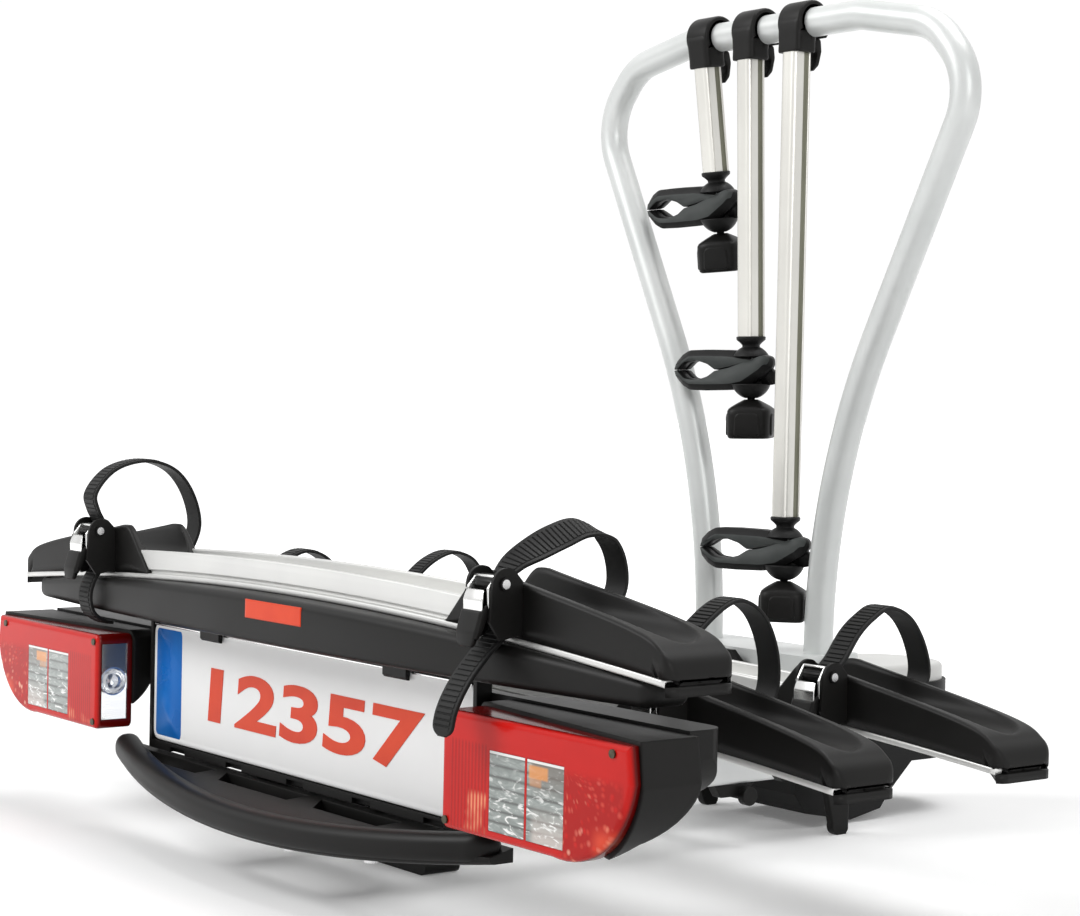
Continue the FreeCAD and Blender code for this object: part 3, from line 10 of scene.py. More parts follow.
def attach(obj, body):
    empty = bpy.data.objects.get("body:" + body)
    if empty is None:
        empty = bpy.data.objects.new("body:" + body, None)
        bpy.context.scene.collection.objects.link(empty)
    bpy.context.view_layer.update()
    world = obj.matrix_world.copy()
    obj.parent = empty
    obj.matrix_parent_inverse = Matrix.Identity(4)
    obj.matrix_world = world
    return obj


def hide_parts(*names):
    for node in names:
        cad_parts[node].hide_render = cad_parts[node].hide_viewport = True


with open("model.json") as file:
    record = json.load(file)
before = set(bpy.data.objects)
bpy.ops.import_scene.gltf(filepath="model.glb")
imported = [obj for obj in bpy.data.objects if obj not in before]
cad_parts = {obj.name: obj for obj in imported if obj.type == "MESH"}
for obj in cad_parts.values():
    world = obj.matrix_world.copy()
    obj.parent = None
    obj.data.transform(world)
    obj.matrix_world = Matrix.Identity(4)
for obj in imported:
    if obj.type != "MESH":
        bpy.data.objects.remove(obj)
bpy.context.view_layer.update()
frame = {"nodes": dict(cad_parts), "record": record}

# The carrier is laid out in millimetres from the plate's lower edge, as in its source;
# place() moves such points to the towball's centre and into metres.
ballY = 732.0
ballZ = -12.0
groundZ = -90.0


def place(points):
    # row point = (layout point - (0, ballY, ballZ)) / 1000
    return (np.asarray(points, float) - np.array([0.0, ballY, ballZ])) / 1000.0


# mesh helpers
def newPiece(name, points, faces, body, material, replaces=(), smooth=True):
    # one mesh object at the origin, its place in its vertices
    mesh = bpy.data.meshes.new(name)
    mesh.from_pydata(place(points).tolist(), [], [list(f) for f in faces])
    mesh.validate()
    mesh.polygons.foreach_set("use_smooth", [smooth] * len(mesh.polygons))
    mesh.update()
    piece = bpy.data.objects.new(name, mesh)
    bpy.context.scene.collection.objects.link(piece)
    mesh.materials.append(material)
    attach(piece, body)
    if replaces:
        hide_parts(*replaces)
    return piece


def outward(piece):
    # turns every face of the piece to its outside
    work = bmesh.new()
    work.from_mesh(piece.data)
    bmesh.ops.recalc_face_normals(work, faces=work.faces)
    work.to_mesh(piece.data)
    work.free()
    return piece


def addPiece(name, points, faces, body, slot, replaces=(), smooth=True):
    # a new piece in its slot's finish, its faces turned outwards
    return outward(newPiece(name, points, faces, body, finishes[slot], replaces, smooth))


def moved(y, z, corners):
    # corner (a, b, radius) -> (y + a, z + b, radius)
    return [(y + a, z + b, r) for a, b, r in corners]


def mirrored(corners):
    # the corners, and then the same ones at -a in reverse order
    return corners + [(-a, b, r) for a, b, r in corners[::-1]]


def narrowing(past, reach, least):
    # sqrt(1 - (past / reach)^2) beyond a start, 1 before it, never below sqrt(least)
    return np.sqrt(np.clip(1 - (np.clip(past, 0, None) / reach) ** 2, least, 1))


def circle(n):
    # n angles round a full turn
    return np.linspace(0, 2 * np.pi, n, endpoint=False)


def anticlockwise(line):
    # the closed line, reversed where its area, half the sum of x y' - x' y, is negative
    area = np.sum(line[:, 0] * np.roll(line[:, 1], -1) - np.roll(line[:, 0], -1) * line[:, 1])
    return line if area > 0 else line[::-1]


def endCaps(m, n):
    # the first and the last of m rings of n points, as two faces
    return [list(range(n))[::-1], [(m - 1) * n + i for i in range(n)]]


def gridRim(nu, nv):
    # the border of a grid once round: along (i, 0), (last, j), back along (i, last) and (0, j)
    border = [(i, 0) for i in range(nu)] + [(nu - 1, j) for j in range(1, nv)]
    border += [(i, nv - 1) for i in range(nu - 2, -1, -1)] + [(0, j) for j in range(nv - 2, 0, -1)]
    return np.array([i * nv + j for i, j in border])


def gridFaces(nu, nv, wrapU=False, wrapV=False, start=0):
    # quads (i, j) (i+1, j) (i+1, j+1) (i, j+1) over a grid of nu by nv points, wrapped where asked
    i = np.arange(nu if wrapU else nu - 1)
    j = np.arange(nv if wrapV else nv - 1)
    a, b = np.meshgrid(i, j, indexing="ij")
    a2, b2 = (a + 1) % nu, (b + 1) % nv
    quads = np.stack([a * nv + b, a2 * nv + b, a2 * nv + b2, a * nv + b2], -1).reshape(-1, 4)
    return (quads + start).tolist()


def merged(parts):
    # joins lists of (points, faces) into one
    points, faces, count = [], [], 0
    for p, f in parts:
        points.append(np.asarray(p, float).reshape(-1, 3))
        faces += [[k + count for k in face] for face in f]
        count += len(points[-1])
    return np.vstack(points), faces


def roundedLine(corners, step=4.0):
    # straight runs joined by arcs: a corner is (x, y, radius); each arc touches both runs at
    # radius * tan(half the turn) from the corner
    out = [np.array(corners[0][:2], float)]
    for i in range(1, len(corners) - 1):
        p = np.array(corners[i][:2], float)
        r = corners[i][2]
        a = np.array(corners[i - 1][:2], float) - p
        b = np.array(corners[i + 1][:2], float) - p
        a /= np.linalg.norm(a)
        b /= np.linalg.norm(b)
        half = math.acos(max(-1, min(1, float(a @ b)))) / 2
        if r <= 0:
            out.append(p)
            continue
        reach = r / math.tan(half)
        centre = p + (a + b) / np.linalg.norm(a + b) * r / math.sin(half)
        first, last = p + a * reach, p + b * reach
        t0 = math.atan2(*(first - centre)[::-1])
        t1 = math.atan2(*(last - centre)[::-1])
        turn = (t1 - t0 + math.pi) % (2 * math.pi) - math.pi
        n = max(6, int(abs(turn) * r / step))
        for k in np.linspace(0, 1, n):
            out.append(centre + r * np.array([math.cos(t0 + turn * k), math.sin(t0 + turn * k)]))
    out.append(np.array(corners[-1][:2], float))
    return np.array(out)


def evenly(line, spacing):
    # the same line with points at even distances along it
    seg = np.linalg.norm(np.diff(line, axis=0), axis=1)
    s = np.concatenate([[0], np.cumsum(seg)])
    n = max(3, int(round(s[-1] / spacing)) + 1)
    t = np.linspace(0, s[-1], n)
    return np.stack([np.interp(t, s, line[:, k]) for k in range(line.shape[1])], -1)


def smoothCurve(points, spacing):
    # a centripetal Catmull-Rom curve through the points, resampled evenly
    p = np.asarray(points, float)
    p = np.vstack([2 * p[0] - p[1], p, 2 * p[-1] - p[-2]])
    out = []
    for i in range(1, len(p) - 2):
        p0, p1, p2, p3 = p[i - 1 : i + 3]
        t0 = 0.0
        t1 = t0 + max(np.linalg.norm(p1 - p0), 1e-6) ** 0.5
        t2 = t1 + max(np.linalg.norm(p2 - p1), 1e-6) ** 0.5
        t3 = t2 + max(np.linalg.norm(p3 - p2), 1e-6) ** 0.5
        t = np.linspace(t1, t2, 24, endpoint=False)[:, None]
        a1 = (t1 - t) / (t1 - t0) * p0 + (t - t0) / (t1 - t0) * p1
        a2 = (t2 - t) / (t2 - t1) * p1 + (t - t1) / (t2 - t1) * p2
        a3 = (t3 - t) / (t3 - t2) * p2 + (t - t2) / (t3 - t2) * p3
        b1 = (t2 - t) / (t2 - t0) * a1 + (t - t0) / (t2 - t0) * a2
        b2 = (t3 - t) / (t3 - t1) * a2 + (t - t1) / (t3 - t1) * a3
        out.append((t2 - t) / (t2 - t1) * b1 + (t - t1) / (t2 - t1) * b2)
    out.append(p[-2][None, :])
    return evenly(np.vstack(out), spacing)


print("helpers ready")


# shader groups
def socket(group, name, kind, way, value=None):
    # adds an input or output, with its value, to a shader group
    s = group.interface.new_socket(name=name, in_out=way, socket_type=kind)
    if value is not None:
        s.default_value = value


def feed(tree, node, inputs):
    # for each input: an output is linked to it, any other value becomes its own
    for key, value in inputs.items():
        if isinstance(value, bpy.types.NodeSocket):
            tree.links.new(value, node.inputs[key])
        else:
            node.inputs[key].default_value = value


def newNode(tree, kind, inputs={}, **settings):
    # a shader node with its settings and inputs
    node = tree.nodes.new("ShaderNode" + kind)
    for key, value in settings.items():
        setattr(node, key, value)
    feed(tree, node, inputs)
    return node


def vectorProduct(tree, a, b):
    # (ax * bx, ay * by, az * bz)
    return newNode(tree, "VectorMath", {0: a, 1: b}, operation="MULTIPLY").outputs[0]


def newGroup(name, inputs, output):
    # a group with object coordinates, its inputs given as (name, kind, value), and one float output
    g = bpy.data.node_groups.new(name, "ShaderNodeTree")
    for key, kind, value in inputs:
        socket(g, key, kind, "INPUT", value)
    socket(g, output, "NodeSocketFloat", "OUTPUT")
    kinds = ("NodeGroupInput", "NodeGroupOutput", "ShaderNodeTexCoord")
    return (g, *(g.nodes.new(k) for k in kinds))


def mottleGroup():
    # cloudy mask: object noise, stretched and steepened
    inputs = [("Scale", "NodeSocketFloat", 20.0), ("Stretch", "NodeSocketVector", (1, 1, 1)),
              ("Low", "NodeSocketFloat", 0.35), ("High", "NodeSocketFloat", 0.65)]
    g, gi, go, co = newGroup("mottle", inputs, "Mask")
    point = vectorProduct(g, co.outputs["Object"], gi.outputs["Stretch"])
    noise = noiseNode(g, point, gi.outputs["Scale"], 4.0)
    feed(g, go, {"Mask": spread(g, noise, 0.0, 1.0, gi.outputs["Low"], gi.outputs["High"])})
    return g


def mouldGroup():
    # moulded skin: small rounded cells under a finer noise, as a height
    g, gi, go, co = newGroup("mouldGrain", [("Scale", "NodeSocketFloat", 900.0)], "Height")
    point, scale = co.outputs["Object"], gi.outputs["Scale"]
    cells = newNode(g, "TexVoronoi", {"Vector": point, "Scale": scale}, feature="SMOOTH_F1")
    noise = noiseNode(g, point, scale, 3.0)
    feed(g, go, {"Height": mathNode(g, "MULTIPLY_ADD", noise, 0.5, cells.outputs["Distance"])})
    return g


def brushedGroup():
    # drawn or brushed metal: two noises pulled far out along the drawing direction, their mean
    g, gi, go, co = newGroup("drawnLines", [("Stretch", "NodeSocketVector", (1, 1, 1))], "Lines")
    point = vectorProduct(g, co.outputs["Object"], gi.outputs["Stretch"])
    fine, coarse = noiseNode(g, point, 1.0, 5.0), noiseNode(g, point, 0.12, 2.0)
    feed(g, go, {"Lines": newNode(g, "Mix", {"Factor": 0.5, "A": fine, "B": coarse}).outputs["Result"]})
    return g


def groupNode(tree, group, **values):
    # a node that uses a shader group, with values for its inputs
    return newNode(tree, "Group", values, node_tree=group)


def mathNode(tree, operation, a, b=None, c=None):
    # one operation on up to three values
    inputs = {i: v for i, v in enumerate((a, b, c)) if v is not None}
    return newNode(tree, "Math", inputs, operation=operation).outputs[0]


def product(tree, first, *others):
    # first * other * other ...
    for other in others:
        first = mathNode(tree, "MULTIPLY", first, other)
    return first


def noiseNode(tree, vector, scale, detail=2.0, distortion=0.0):
    # fractal noise of a point, 0..1
    inputs = {"Vector": vector, "Scale": scale, "Detail": detail, "Distortion": distortion}
    return newNode(tree, "TexNoise", inputs).outputs["Fac"]


def length2(tree, a, b):
    # sqrt(a * a + b * b)
    return mathNode(tree, "SQRT", mathNode(tree, "ADD", product(tree, a, a), product(tree, b, b)))


def wave(tree, value, pitch):
    # 0..1..0 along value, one period per pitch
    angle = product(tree, value, 2 * math.pi / pitch)
    return mathNode(tree, "MULTIPLY_ADD", mathNode(tree, "SINE", angle), 0.5, 0.5)


def mixColour(tree, mask, first, second):
    # first * (1 - mask) + second * mask
    node = newNode(tree, "Mix", {"Factor": mask}, data_type="RGBA")
    for key, value in (("A", first), ("B", second)):
        index = [i for i, s in enumerate(node.inputs) if s.name == key and s.type == "RGBA"][0]
        feed(tree, node, {index: (*value, 1.0) if isinstance(value, tuple) else value})
    return [o for o in node.outputs if o.type == "RGBA"][0]


def spread(tree, value, low, high, fromLow=0.0, fromHigh=1.0, **settings):
    # fromLow..fromHigh carried in a straight line to low..high, clamped
    inputs = {"Value": value, "From Min": fromLow, "From Max": fromHigh, "To Min": low, "To Max": high}
    return newNode(tree, "MapRange", inputs, **settings).outputs["Result"]


def bumped(tree, height, strength, distance, normal=None):
    # the normal tilted by the height's slope, strength times
    inputs = {"Strength": strength, "Distance": distance, "Height": height}
    if normal is not None:
        inputs["Normal"] = normal
    return newNode(tree, "Bump", inputs).outputs["Normal"]


def softEdges(tree, radius):
    # the mean normal within the radius, which rounds sharp edges in the look
    return newNode(tree, "Bevel", {"Radius": radius}, samples=3).outputs["Normal"]


mottle = mottleGroup()
mouldGrain = mouldGroup()
drawnLines = brushedGroup()


def refinish(node, material):
    # one material for a CAD node's object
    slots = frame["nodes"][node].data.materials
    slots.clear()
    slots.append(material)


def blank(name):
    # a new material, its tree and its surface node
    m = bpy.data.materials.new(name)
    m.use_nodes = True
    return m, m.node_tree, m.node_tree.nodes["Principled BSDF"]


def plastic(name, look):
    # moulded plastic: two close shades, cell grain as bump, roughness that wanders, softened edges
    m, tree, bsdf = blank(name)
    mask = groupNode(tree, mottle, Scale=look["cloud"], Low=0.3, High=0.7).outputs["Mask"]
    grain = groupNode(tree, mouldGrain, Scale=look["grain"]).outputs["Height"]
    edge = softEdges(tree, look["edge"]) if look.get("edge") else None
    feed(tree, bsdf, {"Base Color": mixColour(tree, mask, look["dark"], look["light"]),
                      "Roughness": spread(tree, mask, *look["rough"]),
                      "Normal": bumped(tree, grain, look["bump"], 0.0002, edge),
                      "Specular IOR Level": look.get("shine", 0.15)})
    return m


def metal(name, look):
    # metal with drawn lines: roughness and bump follow the same lines
    m, tree, bsdf = blank(name)
    lines = groupNode(tree, drawnLines, Stretch=look["stretch"]).outputs["Lines"]
    mask = groupNode(tree, mottle, Scale=look["cloud"], Low=0.3, High=0.7).outputs["Mask"]
    edge = softEdges(tree, look["edge"]) if look.get("edge") else None
    feed(tree, bsdf, {"Base Color": mixColour(tree, mask, look["dark"], look["light"]),
                      "Roughness": spread(tree, lines, *look["rough"], 0.35, 0.65),
                      "Normal": bumped(tree, lines, look["bump"], 0.0001, edge),
                      "Metallic": look.get("metallic", 1.0)})
    if look.get("coat"):
        feed(tree, bsdf, {"Coat Weight": look["coat"], "Coat Roughness": 0.12})
    return m


# one finish for each material slot of the record
finishSet = {
    "black_plastic": (plastic, "satinBlackPlastic", {"dark": (0.0065, 0.0063, 0.006),
            "light": (0.0105, 0.010, 0.0095), "cloud": 9.0, "rough": (0.36, 0.46), "grain": 1500.0,
            "bump": 0.25, "edge": 0.0012}),
    "grip_rubber": (plastic, "clawRubber", {"dark": (0.02, 0.022, 0.023), "light": (0.032, 0.034, 0.035),
            "cloud": 30.0, "rough": (0.5, 0.62), "grain": 2200.0, "bump": 0.3, "edge": 0.0010}),
    "strap_rubber": (plastic, "strapRubber", {"dark": (0.009, 0.009, 0.009), "light": (0.015, 0.015, 0.0145),
            "cloud": 40.0, "rough": (0.42, 0.55), "grain": 2500.0, "bump": 0.2}),
    "pale_plastic": (plastic, "palePlastic", {"shine": 0.4, "dark": (0.62, 0.62, 0.60),
            "light": (0.70, 0.70, 0.68), "cloud": 14.0, "rough": (0.35, 0.45), "grain": 1600.0, "bump": 0.15,
            "edge": 0.001}),
    "cast_black": (plastic, "castBlack", {"dark": (0.008, 0.008, 0.008), "light": (0.014, 0.014, 0.014),
            "cloud": 25.0, "rough": (0.45, 0.6), "grain": 900.0, "bump": 0.4, "edge": 0.001}),
    "black_metal": (plastic, "coatedBlackMetal", {"dark": (0.007, 0.007, 0.007),
            "light": (0.012, 0.012, 0.012), "cloud": 18.0, "rough": (0.35, 0.5), "grain": 1200.0,
            "bump": 0.3, "edge": 0.0008}),
    "raw_aluminium": (metal, "railAluminium", {"dark": (0.60, 0.61, 0.61), "light": (0.70, 0.71, 0.70),
            "cloud": 12.0, "stretch": (2400, 6, 2400), "rough": (0.36, 0.5), "bump": 0.08, "metallic": 0.55,
            "edge": 0.0008}),
    "tray_aluminium": (metal, "trayAluminium", {"dark": (0.66, 0.66, 0.65), "light": (0.74, 0.74, 0.72),
            "cloud": 8.0, "stretch": (5, 2600, 2600), "rough": (0.32, 0.46), "bump": 0.08, "metallic": 0.5,
            "edge": 0.0006}),
    "anodised_bar": (metal, "anodisedBar", {"dark": (0.60, 0.59, 0.555), "light": (0.68, 0.67, 0.63),
            "cloud": 10.0, "stretch": (2600, 2600, 5), "rough": (0.28, 0.4), "bump": 0.06, "metallic": 0.88}),
    "silver_paint": (metal, "silverPaint", {"dark": (0.62, 0.64, 0.63), "light": (0.70, 0.715, 0.705),
            "cloud": 16.0, "stretch": (1800, 1800, 1800), "rough": (0.34, 0.42), "bump": 0.03,
            "metallic": 0.25, "coat": 0.15}),
    "bright_steel": (metal, "brightSteel", {"dark": (0.55, 0.55, 0.56), "light": (0.7, 0.7, 0.7),
            "cloud": 60.0, "stretch": (900, 900, 900), "rough": (0.18, 0.3), "bump": 0.05, "edge": 0.0005}),
    "bright_lever": (metal, "brightLever", {"dark": (0.62, 0.62, 0.61), "light": (0.78, 0.78, 0.77),
            "cloud": 50.0, "stretch": (1200, 200, 200), "rough": (0.16, 0.28), "bump": 0.06, "edge": 0.0008}),
    "mirror_metal": (metal, "reflectorChrome", {"dark": (0.75, 0.75, 0.76), "light": (0.88, 0.88, 0.88),
            "cloud": 70.0, "stretch": (400, 400, 400), "rough": (0.08, 0.16), "bump": 0.2}),
    "plate_white": (plastic, "plateWhite", {"shine": 0.4, "dark": (0.90, 0.90, 0.895),
            "light": (0.93, 0.93, 0.925), "cloud": 20.0, "rough": (0.28, 0.36), "grain": 1500.0,
            "bump": 0.05}),
}
finishes = {slot: make(name, look) for slot, (make, name, look) in finishSet.items()}


def lensMaterial(name, look):
    # tinted clear plastic: glass with prism lines in its bump
    m, tree, bsdf = blank(name)
    point = newNode(tree, "TexCoord").outputs["Object"]
    prisms = newNode(tree, "TexWave", {"Scale": look["pitch"], "Vector": point}, bands_direction=look["bands"])
    mask = groupNode(tree, mottle, Scale=30.0, Low=0.3, High=0.7).outputs["Mask"]
    feed(tree, bsdf, {"Normal": bumped(tree, prisms.outputs["Fac"], look["bump"], 0.0006),
                      "Base Color": mixColour(tree, mask, look["dark"], look["light"]),
                      "Roughness": spread(tree, mask, *look["rough"]),
                      "Transmission Weight": look["clear"], "IOR": 1.45})
    return m


finishes["amber_bulb"] = lensMaterial("amberBulb", {"dark": (0.85, 0.28, 0.03), "light": (0.95, 0.4, 0.06),
        "rough": (0.05, 0.1), "bands": "X", "pitch": 90.0, "bump": 0.1, "clear": 0.5})


# lamp materials, worked out from each point's place on the lamp
def stepBand(tree, value, low, high, soft):
    # 1 between low and high, falling smoothly to 0 over soft on both sides
    kind = {"interpolation_type": "SMOOTHSTEP"}
    up = spread(tree, value, 0.0, 1.0, low - soft, low, **kind)
    return product(tree, up, spread(tree, value, 1.0, 0.0, high, high + soft, **kind))


def pointPlace(tree):
    # a point in metres, and its |x|, y and z, so that both sides of the carrier get the same
    point = newNode(tree, "TexCoord").outputs["Object"]
    x, y, z = newNode(tree, "SeparateXYZ", {0: point}).outputs
    return point, mathNode(tree, "ABSOLUTE", x), y, z


def redLens(look):
    # a deep red field, upright ribs beside the windows, and broken prism streaks round a centre further out,
    # painted as glints; painted shade in the ribs, between the streaks and on the returns, and a painted glow
    # at the lower outer corner
    m, tree, bsdf = blank("redLens")
    co, x, y, z = pointPlace(tree)
    noise = noiseNode(tree, co, 26.0, 3.0)
    ribs = product(tree, wave(tree, x, look["rib"]), stepBand(tree, x, *look["ribsX"]),
                   stepBand(tree, z, *look["ribsZ"]))
    # streak cells: Voronoi cells over (distance / cell, angle * count) round the ring centre
    dx = mathNode(tree, "SUBTRACT", x, look["ringX"])
    dz = mathNode(tree, "SUBTRACT", z, look["ringZ"])
    r = length2(tree, dx, dz)
    angle = mathNode(tree, "ARCTAN2", dz, dx)
    steps = mathNode(tree, "DIVIDE", r, look["cell"])
    polar = newNode(tree, "CombineXYZ", {0: steps, 1: product(tree, angle, look["count"])}).outputs[0]
    cells = newNode(tree, "TexVoronoi", {"Scale": 1.0, "Vector": polar})
    streak = spread(tree, cells.outputs["Distance"], 1.0, 0.0, 0.12, 0.46)
    tint = newNode(tree, "SeparateColor", {0: cells.outputs["Color"]})
    lit = spread(tree, tint.outputs[0], 0.0, 1.0, 0.25, 0.8)
    area = product(tree, stepBand(tree, x, *look["areaX"]), stepBand(tree, z, *look["areaZ"]))
    low = spread(tree, z, 1.0, 0.18, 0.052, 0.074)
    clump = spread(tree, noise, 0.15, 1.0, 0.42, 0.60)
    # painted glints: lit streak cells in the outer area take a bright colour, for light caught by the prisms
    paintedGlint = product(tree, streak, lit, area, low, clump)
    base = mixColour(tree, noise, look["dark"], look["light"])
    base = mixColour(tree, product(tree, ribs, 0.5), base, look["shade"])
    # painted shade: the outer area darkens between the streaks
    between = product(tree, mathNode(tree, "SUBTRACT", 1.0, streak), area, 0.45)
    base = mixColour(tree, between, base, look["shade"])
    # small orange dashes low between the ribs, painted glints, and a painted glow at the lower outer corner
    dashGlints = product(tree, ribs, stepBand(tree, z, *look["dashZ"]), spread(tree, noise, 0.0, 0.8, 0.5, 0.62))
    base = mixColour(tree, dashGlints, base, look["glintOrange"])
    # painted glow: the lower outer corner is lit up in a lighter orange-red
    corner = product(tree, stepBand(tree, x, *look["cornerX"]), stepBand(tree, z, *look["cornerZ"]), 0.75)
    base = mixColour(tree, corner, base, look["corner"])
    # the painted glints' colour, from orange to near white
    glintTint = mixColour(tree, tint.outputs[1], look["glintOrange"], look["paintedGlint"])
    base = mixColour(tree, paintedGlint, base, glintTint)
    # painted shade: the returns back from the front face are darkened to near black
    returnShade = product(tree, stepBand(tree, y, *look["returnShadeY"]), 0.86)
    base = mixColour(tree, returnShade, base, look["deep"])
    height = mathNode(tree, "ADD", product(tree, ribs, 0.5), product(tree, streak, area, 0.8))
    normal = bumped(tree, height, 0.2, 0.0008, softEdges(tree, 0.0022))
    feed(tree, bsdf, {"Base Color": base, "Normal": normal, "Roughness": spread(tree, noise, 0.18, 0.30),
                      "Specular IOR Level": 0.12, "Coat Weight": 0.14, "Coat Roughness": 0.05})
    return m


def windowPrism(look):
    # clear front panes with level ribs, low silver painted glints, a thin painted highlight line and amber
    # patches; the inner side panes stay clear
    m, tree, bsdf = blank("windowPrism")
    co, x, _, z = pointPlace(tree)
    noise = noiseNode(tree, vectorProduct(tree, co, (70.0, 70.0, 210.0)), 1.0, 3.5, 1.4)
    band = wave(tree, z, look["pitch"])
    base = mixColour(tree, spread(tree, noise, 0.0, 1.0, 0.35, 0.65), look["middle"], look["light"])
    base = mixColour(tree, product(tree, mathNode(tree, "POWER", band, 5.0), 0.85), base, look["dark"])
    # the outer pane is browner above and paler below
    outer = stepBand(tree, x, *look["outerX"])
    base = mixColour(tree, product(tree, outer, spread(tree, z, 0.0, 0.7, 0.058, 0.078)), base, look["brown"])
    base = mixColour(tree, product(tree, outer, spread(tree, z, 0.55, 0.0, 0.032, 0.056)), base, look["pale"])
    # painted glints: bright specks where the noise is high, mostly in the lower half
    lowHalf = spread(tree, z, 1.0, 0.3, 0.045, 0.078)
    glint = product(tree, spread(tree, noise, 0.0, 1.0, 0.56, 0.66), lowHalf)
    base = mixColour(tree, glint, base, look["bright"])
    # painted highlight: a thin near-white line across the panes
    highlightLine = stepBand(tree, z, *look["highlightLineZ"])
    base = mixColour(tree, product(tree, highlightLine, 0.9), base, look["bright"])
    for x0, x1, z0, z1, much in look["patches"]:
        patch = product(tree, stepBand(tree, x, x0, x1, 0.003), stepBand(tree, z, z0, z1, 0.002), much)
        base = mixColour(tree, patch, base, look["amber"])
    side = stepBand(tree, x, *look["sideX"])
    base = mixColour(tree, side, base, look["side"])
    height = mathNode(tree, "ADD", product(tree, band, 0.5), product(tree, noise, 0.75))
    feed(tree, bsdf, {"Base Color": base, "Transmission Weight": product(tree, side, 0.96),
                      "Normal": bumped(tree, height, 0.3, 0.0008), "Roughness": spread(tree, noise, 0.05, 0.18),
                      "Coat Weight": 0.5, "Coat Roughness": 0.04})
    return m


# painted light in the lens colours: the near-white and orange ones are painted glints, the corner colour is a
# painted glow, and the shade and deep colours are painted shade
lensLook = {"dark": (0.54, 0.006, 0.004), "light": (0.68, 0.011, 0.007), "shade": (0.27, 0.003, 0.002),
            "paintedGlint": (1.0, 0.74, 0.58),
            "glintOrange": (1.0, 0.40, 0.22), "corner": (0.86, 0.095, 0.042), "deep": (0.045, 0.0015, 0.0015),
            "ringX": 0.436, "ringZ": 0.086, "cell": 0.0066, "count": 9.0, "rib": 0.0042,
            "ribsX": (0.297, 0.343, 0.002), "ribsZ": (0.024, 0.088, 0.004), "areaX": (0.437, 0.497, 0.006),
            "areaZ": (0.024, 0.078, 0.010), "dashZ": (0.028, 0.05, 0.006), "cornerX": (0.478, 0.52, 0.016),
            "cornerZ": (0.0, 0.04, 0.014), "returnShadeY": (-0.7755, -0.60, 0.0035)}
# the bright colour serves the painted glints and the painted highlight line
windowLook = {"pitch": 0.0083, "dark": (0.05, 0.055, 0.05), "middle": (0.22, 0.25, 0.235),
              "light": (0.36, 0.40, 0.38), "bright": (0.95, 0.95, 0.93),
              "outerX": (0.402, 0.50, 0.008), "highlightLineZ": (0.0852, 0.0872, 0.0006),
              "sideX": (0.20, 0.2915, 0.001), "brown": (0.13, 0.10, 0.075), "pale": (0.78, 0.66, 0.60),
              "amber": (0.80, 0.28, 0.03), "side": (0.95, 0.96, 0.96),
              "patches": ((0.3953, 0.4145, 0.0747, 0.082, 0.85), (0.396, 0.407, 0.069, 0.0735, 0.45))}
finishes["red_lens"] = redLens(lensLook)
finishes["clear_lens"] = windowPrism(windowLook)

for row in frame["record"]["subparts"]:
    refinish(row["node"], finishes[row["material_slot"]])
print("finishes set on", len(frame["nodes"]), "nodes")


# camera, floor and light
cameraSet = {"place": (1.698763, -1.781566, 0.349475), "yaw": 0.9142427, "pitch": 0.0280302,
             "roll": 0.0211863, "lens": 76.6667}


def makeCamera(c):
    # looks along (-sin yaw cos pitch, cos yaw cos pitch, -sin pitch), rolled about that line
    yaw, pitch, roll = c["yaw"], c["pitch"], c["roll"]
    ahead = Vector((-math.sin(yaw) * math.cos(pitch), math.cos(yaw) * math.cos(pitch), -math.sin(pitch)))
    right = Vector((math.cos(yaw), math.sin(yaw), 0))
    up = right.cross(ahead)
    r2 = right * math.cos(roll) + up * math.sin(roll)
    u2 = -right * math.sin(roll) + up * math.cos(roll)
    turn = Matrix((r2, u2, -ahead)).transposed()
    data = bpy.data.cameras.new("camera")
    data.sensor_fit = "HORIZONTAL"
    data.sensor_width = 36.0
    data.lens = c["lens"]
    data.clip_start, data.clip_end = 0.05, 60.0
    camera = bpy.data.objects.new("camera", data)
    camera.matrix_world = Matrix.Translation(c["place"]) @ turn.to_4x4()
    bpy.context.scene.collection.objects.link(camera)
    bpy.context.scene.camera = camera


makeCamera(cameraSet)


def seenWhite(tree, glow):
    # a plain glow that only what is seen, mirrored or seen through gets, so the shadow and the light stay
    rays = newNode(tree, "LightPath").outputs
    seen = mathNode(tree, "MAXIMUM", rays["Is Camera Ray"], rays["Is Transmission Ray"])
    return product(tree, mathNode(tree, "MAXIMUM", seen, rays["Is Glossy Ray"]), glow)


floorSet = {"colour": (0.95, 0.95, 0.95), "glow": 0.13, "farGlow": 1.0, "centre": (0.0, -0.35, 0.0),
            "near": 0.9, "far": 2.6, "reach": 30.0}


def makeFloor(s):
    # a square of half side reach below the feet; its glow grows in a straight line with the distance from
    # the centre, from near to far, so that the floor ends in white
    mesh = bpy.data.meshes.new("floor")
    z = (groundZ - ballZ) / 1000.0 - 0.0002
    r = s["reach"]
    mesh.from_pydata([(-r, -r, z), (r, -r, z), (r, r, z), (-r, r, z)], [], [(0, 1, 2, 3)])
    floor = bpy.data.objects.new("floor", mesh)
    bpy.context.scene.collection.objects.link(floor)
    m, tree, bsdf = blank("paleFloor")
    mask = groupNode(tree, mottle, Scale=3.0, Low=0.2, High=0.8).outputs["Mask"]
    point = newNode(tree, "TexCoord").outputs["Object"]
    away = newNode(tree, "VectorMath", {0: point, 1: s["centre"]}, operation="DISTANCE").outputs["Value"]
    glow = spread(tree, away, s["glow"], s["farGlow"], s["near"], s["far"])
    c = s["colour"]
    feed(tree, bsdf, {"Base Color": mixColour(tree, mask, tuple(v * 0.995 for v in c), c),
                      "Roughness": 0.9, "Specular IOR Level": 0.0,
                      "Emission Color": (1, 1, 1, 1), "Emission Strength": seenWhite(tree, glow)})
    mesh.materials.append(m)


makeFloor(floorSet)


